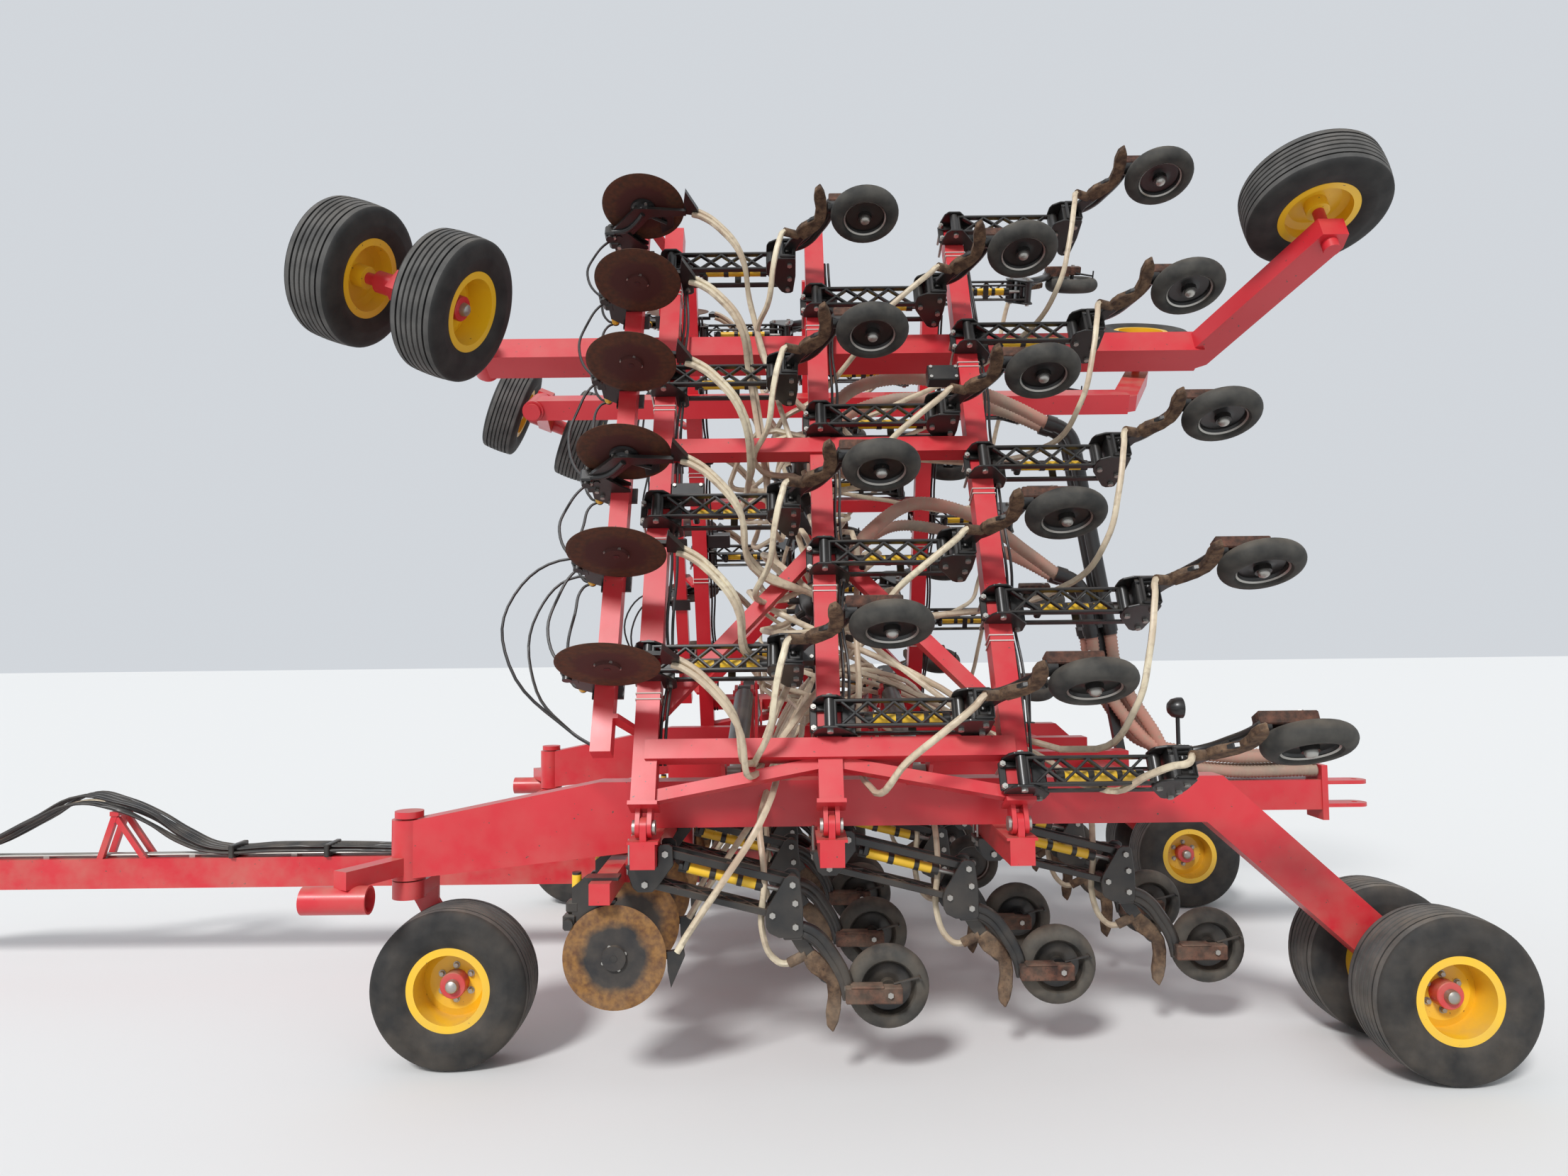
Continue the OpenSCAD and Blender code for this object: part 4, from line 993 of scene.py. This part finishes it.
def distributor(foot, outlets=OUTLETS):
    """A distributor head about its own axis +Y: a drum of outlets on a riser that stands on its foot."""
    drum = turned([(0.0005, -0.100), (0.050, -0.100), (0.052, -0.050), (0.064, -0.040), (0.066, -0.012),
                   (0.128, -0.004), (0.136, 0.004), (0.136, 0.040), (0.120, 0.060), (0.100, 0.068),
                   (0.040, 0.074), (0.0005, 0.076)], 32)
    stubs = [rod(*[(r * math.cos(a), 0.018, r * math.sin(a)) for r in (0.120, 0.200)], 0.0205, 12)
             for a in (2 * math.pi * k / outlets for k in range(outlets))]
    riser = rod((0, foot, 0), (0, -0.095, 0), 0.045, 20, 0.004)
    plate = billet((-0.055, foot, -0.055), (0.055, foot + 0.010, 0.055), 0.003)
    return [drum, riser, plate] + stubs


for side in SIDES:
    wing = wing_place[side]
    lines = []
    taken = [0, 0]
    for i in range(3):
        for t in WING_ROWS[i]:
            which = 0 if t < INNER_ROWS else 1
            lines.append([wing @ p for p in seed_route(i, t, HEADS[which], taken[which])])
            taken[which] += 1
    for n, place in enumerate(wing_bands()):
        which = 0 if n < INNER_BANDS else 1
        for shift in BAND_SHIFTS:
            lines.append([wing @ p for p in band_route(place, shift, HEADS[which], taken[which])])
        taken[which] += 1
    seed_hoses = joined([hose(line, SEED_RADIUS) for line in lines])
    named(seed_hoses, "seed_hoses_" + side, seed_plastic, "wing_" + side)
    heads = []
    for at, foot in zip(HEADS, HEAD_FOOT):
        head = joined(distributor(foot - at.z))
        head.data.transform(wing @ Matrix.Translation(at) @ UPRIGHT)
        heads.append(head)
    named(joined(heads), "distributor_heads_" + side, black_paint, "wing_" + side)

# the centre section's own head stands on the middle rank tube, and its hoses drop to the boots
CENTRE_HEAD = Vector((RANKS[1], 0, 1.980))
centre_lines = []
lowered = Vector((LINK * (math.cos(CENTRE_DROP) - 1), 0, -LINK * math.sin(CENTRE_DROP)))
drops = [matrix @ (lowered + BOOT_END) for _, matrix in centre_points()]
for n, start in enumerate(drops):
    angle = 2 * math.pi * n / len(drops)
    way = Vector((math.cos(angle), math.sin(angle), 0))
    loose = random.uniform(-0.04, 0.04)
    centre_lines.append([
        start + Vector((0.024, 0, 0.014)), start, start + Vector((-0.060, 0, 0.010)),
        start + Vector((-0.130, loose, 0.150)), start + Vector((-0.120, loose, 0.420)),
        Vector((start.x - 0.140, start.y * 0.92 + loose, 1.300)),
        Vector((0.6 * start.x + 0.4 * CENTRE_HEAD.x, start.y * 0.6, 1.640)), CENTRE_HEAD + 0.40 * way,
        CENTRE_HEAD + 0.19 * way
    ])
for place in bander_points()["centre"][1]:
    for shift in BAND_SHIFTS:
        low = place @ BAND_BOOT + Vector((0, shift, 0))
        into = 0.14 if low.y > 0 else -0.14
        centre_lines.append([
            low, low + Vector((0.050, 0, 0.080)), low + Vector((0.230, 0, 0.340)),
            low + Vector((0.400, 0, 0.600)), Vector((1.180, low.y * 0.8, 1.560)),
            CENTRE_HEAD + Vector((-0.02, into, -0.04))
        ])
named(joined([hose(line, SEED_RADIUS) for line in centre_lines]), "seed_hoses_centre", seed_plastic, "root")
centre_head = joined(distributor(RANK_Z + TUBE / 2 - CENTRE_HEAD.z, 16))
centre_head.data.transform(Matrix.Translation(CENTRE_HEAD) @ UPRIGHT)
named(centre_head, "distributor_head_centre", black_paint, "root")

# ribbed primaries: one from each riser's outlet over to a wing's head, and a foot below each riser
RISER = Matrix.Translation((3.615, 0, 1.200)) @ Matrix.Rotation(math.radians(-9.5), 4, "Y")
RISER_LOW = 1.020
RISER_OUT = 0.075
SHORT_BACK = -0.130
TALL_RISER = 1.330
SHORT_RISER = 0.280
RIBBED = 0.044
OUTLET = Vector((-0.1626, 0, 0.2006))
for side, sign in SIDES.items():
    wing = wing_place[side]
    upper = RISER @ (Vector((0, sign * RISER_OUT, RISER_LOW + TALL_RISER)) + OUTLET)
    lower = RISER @ (Vector((SHORT_BACK, sign * RISER_OUT, RISER_LOW + SHORT_RISER)) + OUTLET)
    sockets = [wing @ (at + Vector((0.050, 0, -0.130))) for at in HEADS]
    runs = [
        [upper + Vector((0.030, 0, -0.010)), upper, (2.80, sign * 0.11, 3.80), (2.45, sign * 0.20, 3.91),
         (2.02, sign * 0.30, 3.95), (1.66, sign * 0.42, 3.84), (1.46, sign * 0.56, 3.56), sockets[1]],
        [lower + Vector((0.030, 0, -0.010)), lower, (2.86, sign * 0.18, 2.77), (2.46, sign * 0.48, 2.98),
         (2.04, sign * 0.66, 3.05), (1.74, sign * 0.84, 2.86), (1.56, sign * 1.02, 2.62), sockets[0]]
    ]
    for height, run, socket in zip(("upper", "lower"), runs, reversed(sockets)):
        primary = ribbed_hose(run, RIBBED)
        named(primary, "primary_hose_%s_%s" % (height, side), ribbed_plastic, None)
        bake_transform(primary)
feet = []
for y in (-RISER_OUT, RISER_OUT):
    for back in (0.0, SHORT_BACK):
        top = RISER @ Vector((back, y, RISER_LOW))
        feet.append(ribbed_hose([
            top + Vector((0, 0, 0.020)), top, top + Vector((0.050, 0, -0.280)),
            (3.700 + back * 0.9, y * 1.5, 1.560), (3.860 + back * 0.6, y * 1.3, 1.330 - back * 0.75),
            (4.250, y * 0.9, 1.262 - back * 0.75), (4.700, y * 0.75, 1.262 - back * 0.75),
            (4.845, y * 0.75, 1.262 - back * 0.55)
        ], RIBBED))
named(joined(feet), "primary_feet", ribbed_plastic, "root")


# Oil hoses: thin black lines in pairs, from bander to bander down the front of each wing, along the
# rank tubes, and over the drawbar's stand to the steel lines on the pole. Each end is screwed in.
def oil_lines(group, runs, body, radius=OIL_RADIUS):
    """Settles a group of oil hoses as one piece."""
    named(joined([hose(run, radius) for run in runs]), "oil_hoses_" + group, oil_rubber, body)


for side in SIDES:
    wing = wing_place[side]
    runs = []
    ports = [(place @ Vector((*LIFT, 0.078)), place @ Vector((*LIFT, -0.118))) for place in wing_bands()]
    for first, second in zip(ports, ports[1:]):
        for a, b, out in ((first[0], second[0], 0.10), (first[1], second[1], 0.16)):
            low = a.lerp(b, 0.35) + Vector((-out, random.uniform(-0.03, 0.03), 0))
            runs.append([a, a + Vector((-0.05, 0.02, 0)), low, b.lerp(a, 0.3) + Vector((-out * 0.8, 0, 0)),
                         b + Vector((-0.05, -0.03, 0)), b])
    for port, out in ((ports[1][0], 0.28), (ports[1][1], 0.36)):
        runs.append([port, port + Vector((-0.08, 0.04, 0)), port + Vector((-out, -0.16, 0.02)),
                     port + Vector((-out * 0.95, -0.55, 0.02)), (bar_x - 0.16, 0.42, WING_RANK - BAR_DROP),
                     (bar_x - 0.02, 0.33, WING_RANK - BAR_DROP)])
    for x in RANKS:
        for shift in (0.0, 0.022):
            side_x = x + TUBE / 2 + 0.010 + shift
            knots = [(side_x, 3.700, WING_RANK + 0.02)]
            for step in range(11):
                u = 3.5 - 0.3 * step
                knots.append((side_x + (0.012 if step % 2 else -0.002) + random.uniform(0, 0.01), u,
                              WING_RANK + 0.02 * math.sin(step * 1.7)))
            runs.append(knots + [(side_x, 0.30, WING_RANK + 0.02)])
    oil_lines("wing_" + side, [[wing @ Vector(p) for p in run] for run in runs], "wing_" + side)

POLE_TOP = 0.750
runs = []
for n in range(8):
    y = (n - 3.5) * 0.024
    rise = 0.02 * math.sin(n * 2.3)
    lift = 0.045 if n % 2 else 0.0
    runs.append([
        (-4.905, y * 0.8, POLE_TOP + 0.045), (-4.700, y, POLE_TOP + 0.050),
        (-4.330, y * 1.2, POLE_TOP + 0.090 + rise), (-3.960, y * 1.3, POLE_TOP + 0.260 + rise),
        (-3.640, y * 1.2, POLE_TOP + 0.380 + lift),
        (-3.395, y, POLE_TOP + 0.338 + lift), (-3.170, y, POLE_TOP + 0.250 + lift + rise),
        (-2.960, y, POLE_TOP + 0.120 + lift), (-2.740, y, POLE_TOP + 0.046 + lift * 0.5),
        (-2.300, y, POLE_TOP + 0.046 + lift * 0.5), (-1.800, y * 0.95, POLE_TOP + 0.042 + lift * 0.5),
        (-1.380, y * 0.9, POLE_TOP + 0.036 + lift * 0.3)
    ])
oil_lines("drawbar", runs, "root", 0.0115)
beige = hose([(x, y + 0.108, z + 0.004) for x, y, z in runs[0]], 0.012)
named(beige, "air_line_drawbar", seed_plastic, "root")
couplers = []
for run in runs:
    tip = Vector(run[0])
    couplers.append(rod(tip + Vector((0.040, 0, 0.001)), tip + Vector((-0.020, 0, 0)), 0.0165, 6))
    couplers.append(rod(tip + Vector((-0.020, 0, 0)), tip + Vector((-0.075, 0, 0)), 0.0120, 12))
    couplers.append(rod(Vector(run[-1]), Vector(run[-1]) + Vector((0.070, 0, -0.004)), 0.0140, 6))
named(joined(couplers), "couplers_drawbar", plated, "root")
clamps = [billet((x, -0.104, POLE_TOP + 0.001), (x + 0.035, 0.104, POLE_TOP + 0.088), 0.006)
          for x in (-2.600, -1.950, -1.460)]
clamps.append(billet((-4.840, -0.074, POLE_TOP + 0.0005), (-4.805, 0.074, POLE_TOP + 0.068), 0.004))
named(joined(clamps), "hose_clamps_drawbar", black_paint, "root")


# Small black boxes with a bright bolt at each corner hold the wings' valves and sensors.
# They are plain pressed steel, screwed to the side of a rank tube.
VALVE_BOXES = (
    (2.178, 2.730, 0.190, 0.115), (0.660, 1.890, 0.190, 0.115), (1.254, 0.900, 0.210, 0.130)
)


def valve_box(x, u, across, along):
    """One box on the wing, with the bolts on its lower face, in the wing's own place."""
    low = WING_RANK - 0.050
    half_x = across / 2
    half_u = along / 2
    inset = 0.020
    body = billet((x - half_x, u - half_u, low), (x + half_x, u + half_u, WING_RANK + 0.030), 0.006)
    corners = [(x + sx * (half_x - inset), u + sy * (half_u - inset)) for sx in (-1, 1) for sy in (-1, 1)]
    heads = [rod((*corner, low - 0.009), (*corner, low), 0.011, 6) for corner in corners]
    return body, heads


for side in SIDES:
    bodies, heads = [], []
    for sizes in VALVE_BOXES:
        body, bolts = valve_box(*sizes)
        bodies.append(body)
        heads += bolts
    for pieces, name, material, slot in ((bodies, "valve_boxes_", black_paint, "black_paint"),
                                         (heads, "valve_box_bolts_", plated, "bright_steel")):
        piece = joined(pieces)
        piece.data.transform(wing_place[side])
        if side == "l":
            piece.data.flip_normals()
        named(piece, name + side, material, "wing_" + side)


# A round black work lamp stands on a thin stalk on each side beam, behind the last rank,
# and faces rearward.
LAMP = Vector((3.290, 1.650, 1.460))
for side, sign in SIDES.items():
    foot = Vector((LAMP.x, sign * LAMP.y, LAMP.z))
    stalk = [rod(foot, foot + Vector((0, 0, 0.300)), 0.011, 10),
             billet(foot + Vector((-0.035, -0.035, 0)), foot + Vector((0.035, 0.035, 0.008)), 0.002)]
    bowl = turned([(0.0005, -0.052), (0.030, -0.048), (0.048, -0.030), (0.056, 0.000), (0.056, 0.022),
                   (0.051, 0.024), (0.049, 0.010), (0.0005, 0.008)], 28)
    bowl.data.transform(facing(foot + Vector((0, 0, 0.350)), (1, 0, 0)))
    named(joined(stalk + [bowl]), "work_lamp_" + side, black_paint, "root")


# The floor and the lamps of the studio: a pale floor, a soft key light from the upper left,
# and a pale world that the paint reflects.
bpy.ops.mesh.primitive_plane_add(size=160, location=(0, 0, -0.001))
floor = bpy.context.object
floor.name = "floor"
floor_material, floor_shader, _, _ = new_material("pale floor")
floor_shader.inputs["Base Color"].default_value = rgb(0.72, 0.72, 0.71)
floor_shader.inputs["Roughness"].default_value = 0.9
floor.data.materials.append(floor_material)

bpy.ops.object.light_add(type="SUN", rotation=(math.radians(48), 0, math.radians(-24)))
sun = bpy.context.object
sun.data.energy = 2.6
sun.data.angle = math.radians(12)
world = bpy.context.scene.world or bpy.data.worlds.new("studio")
bpy.context.scene.world = world
world.use_nodes = True
back = world.node_tree.nodes["Background"]
back.inputs["Color"].default_value = rgb(0.86, 0.9, 0.95)
back.inputs["Strength"].default_value = 0.75
bpy.context.scene.view_settings.view_transform = "Standard"
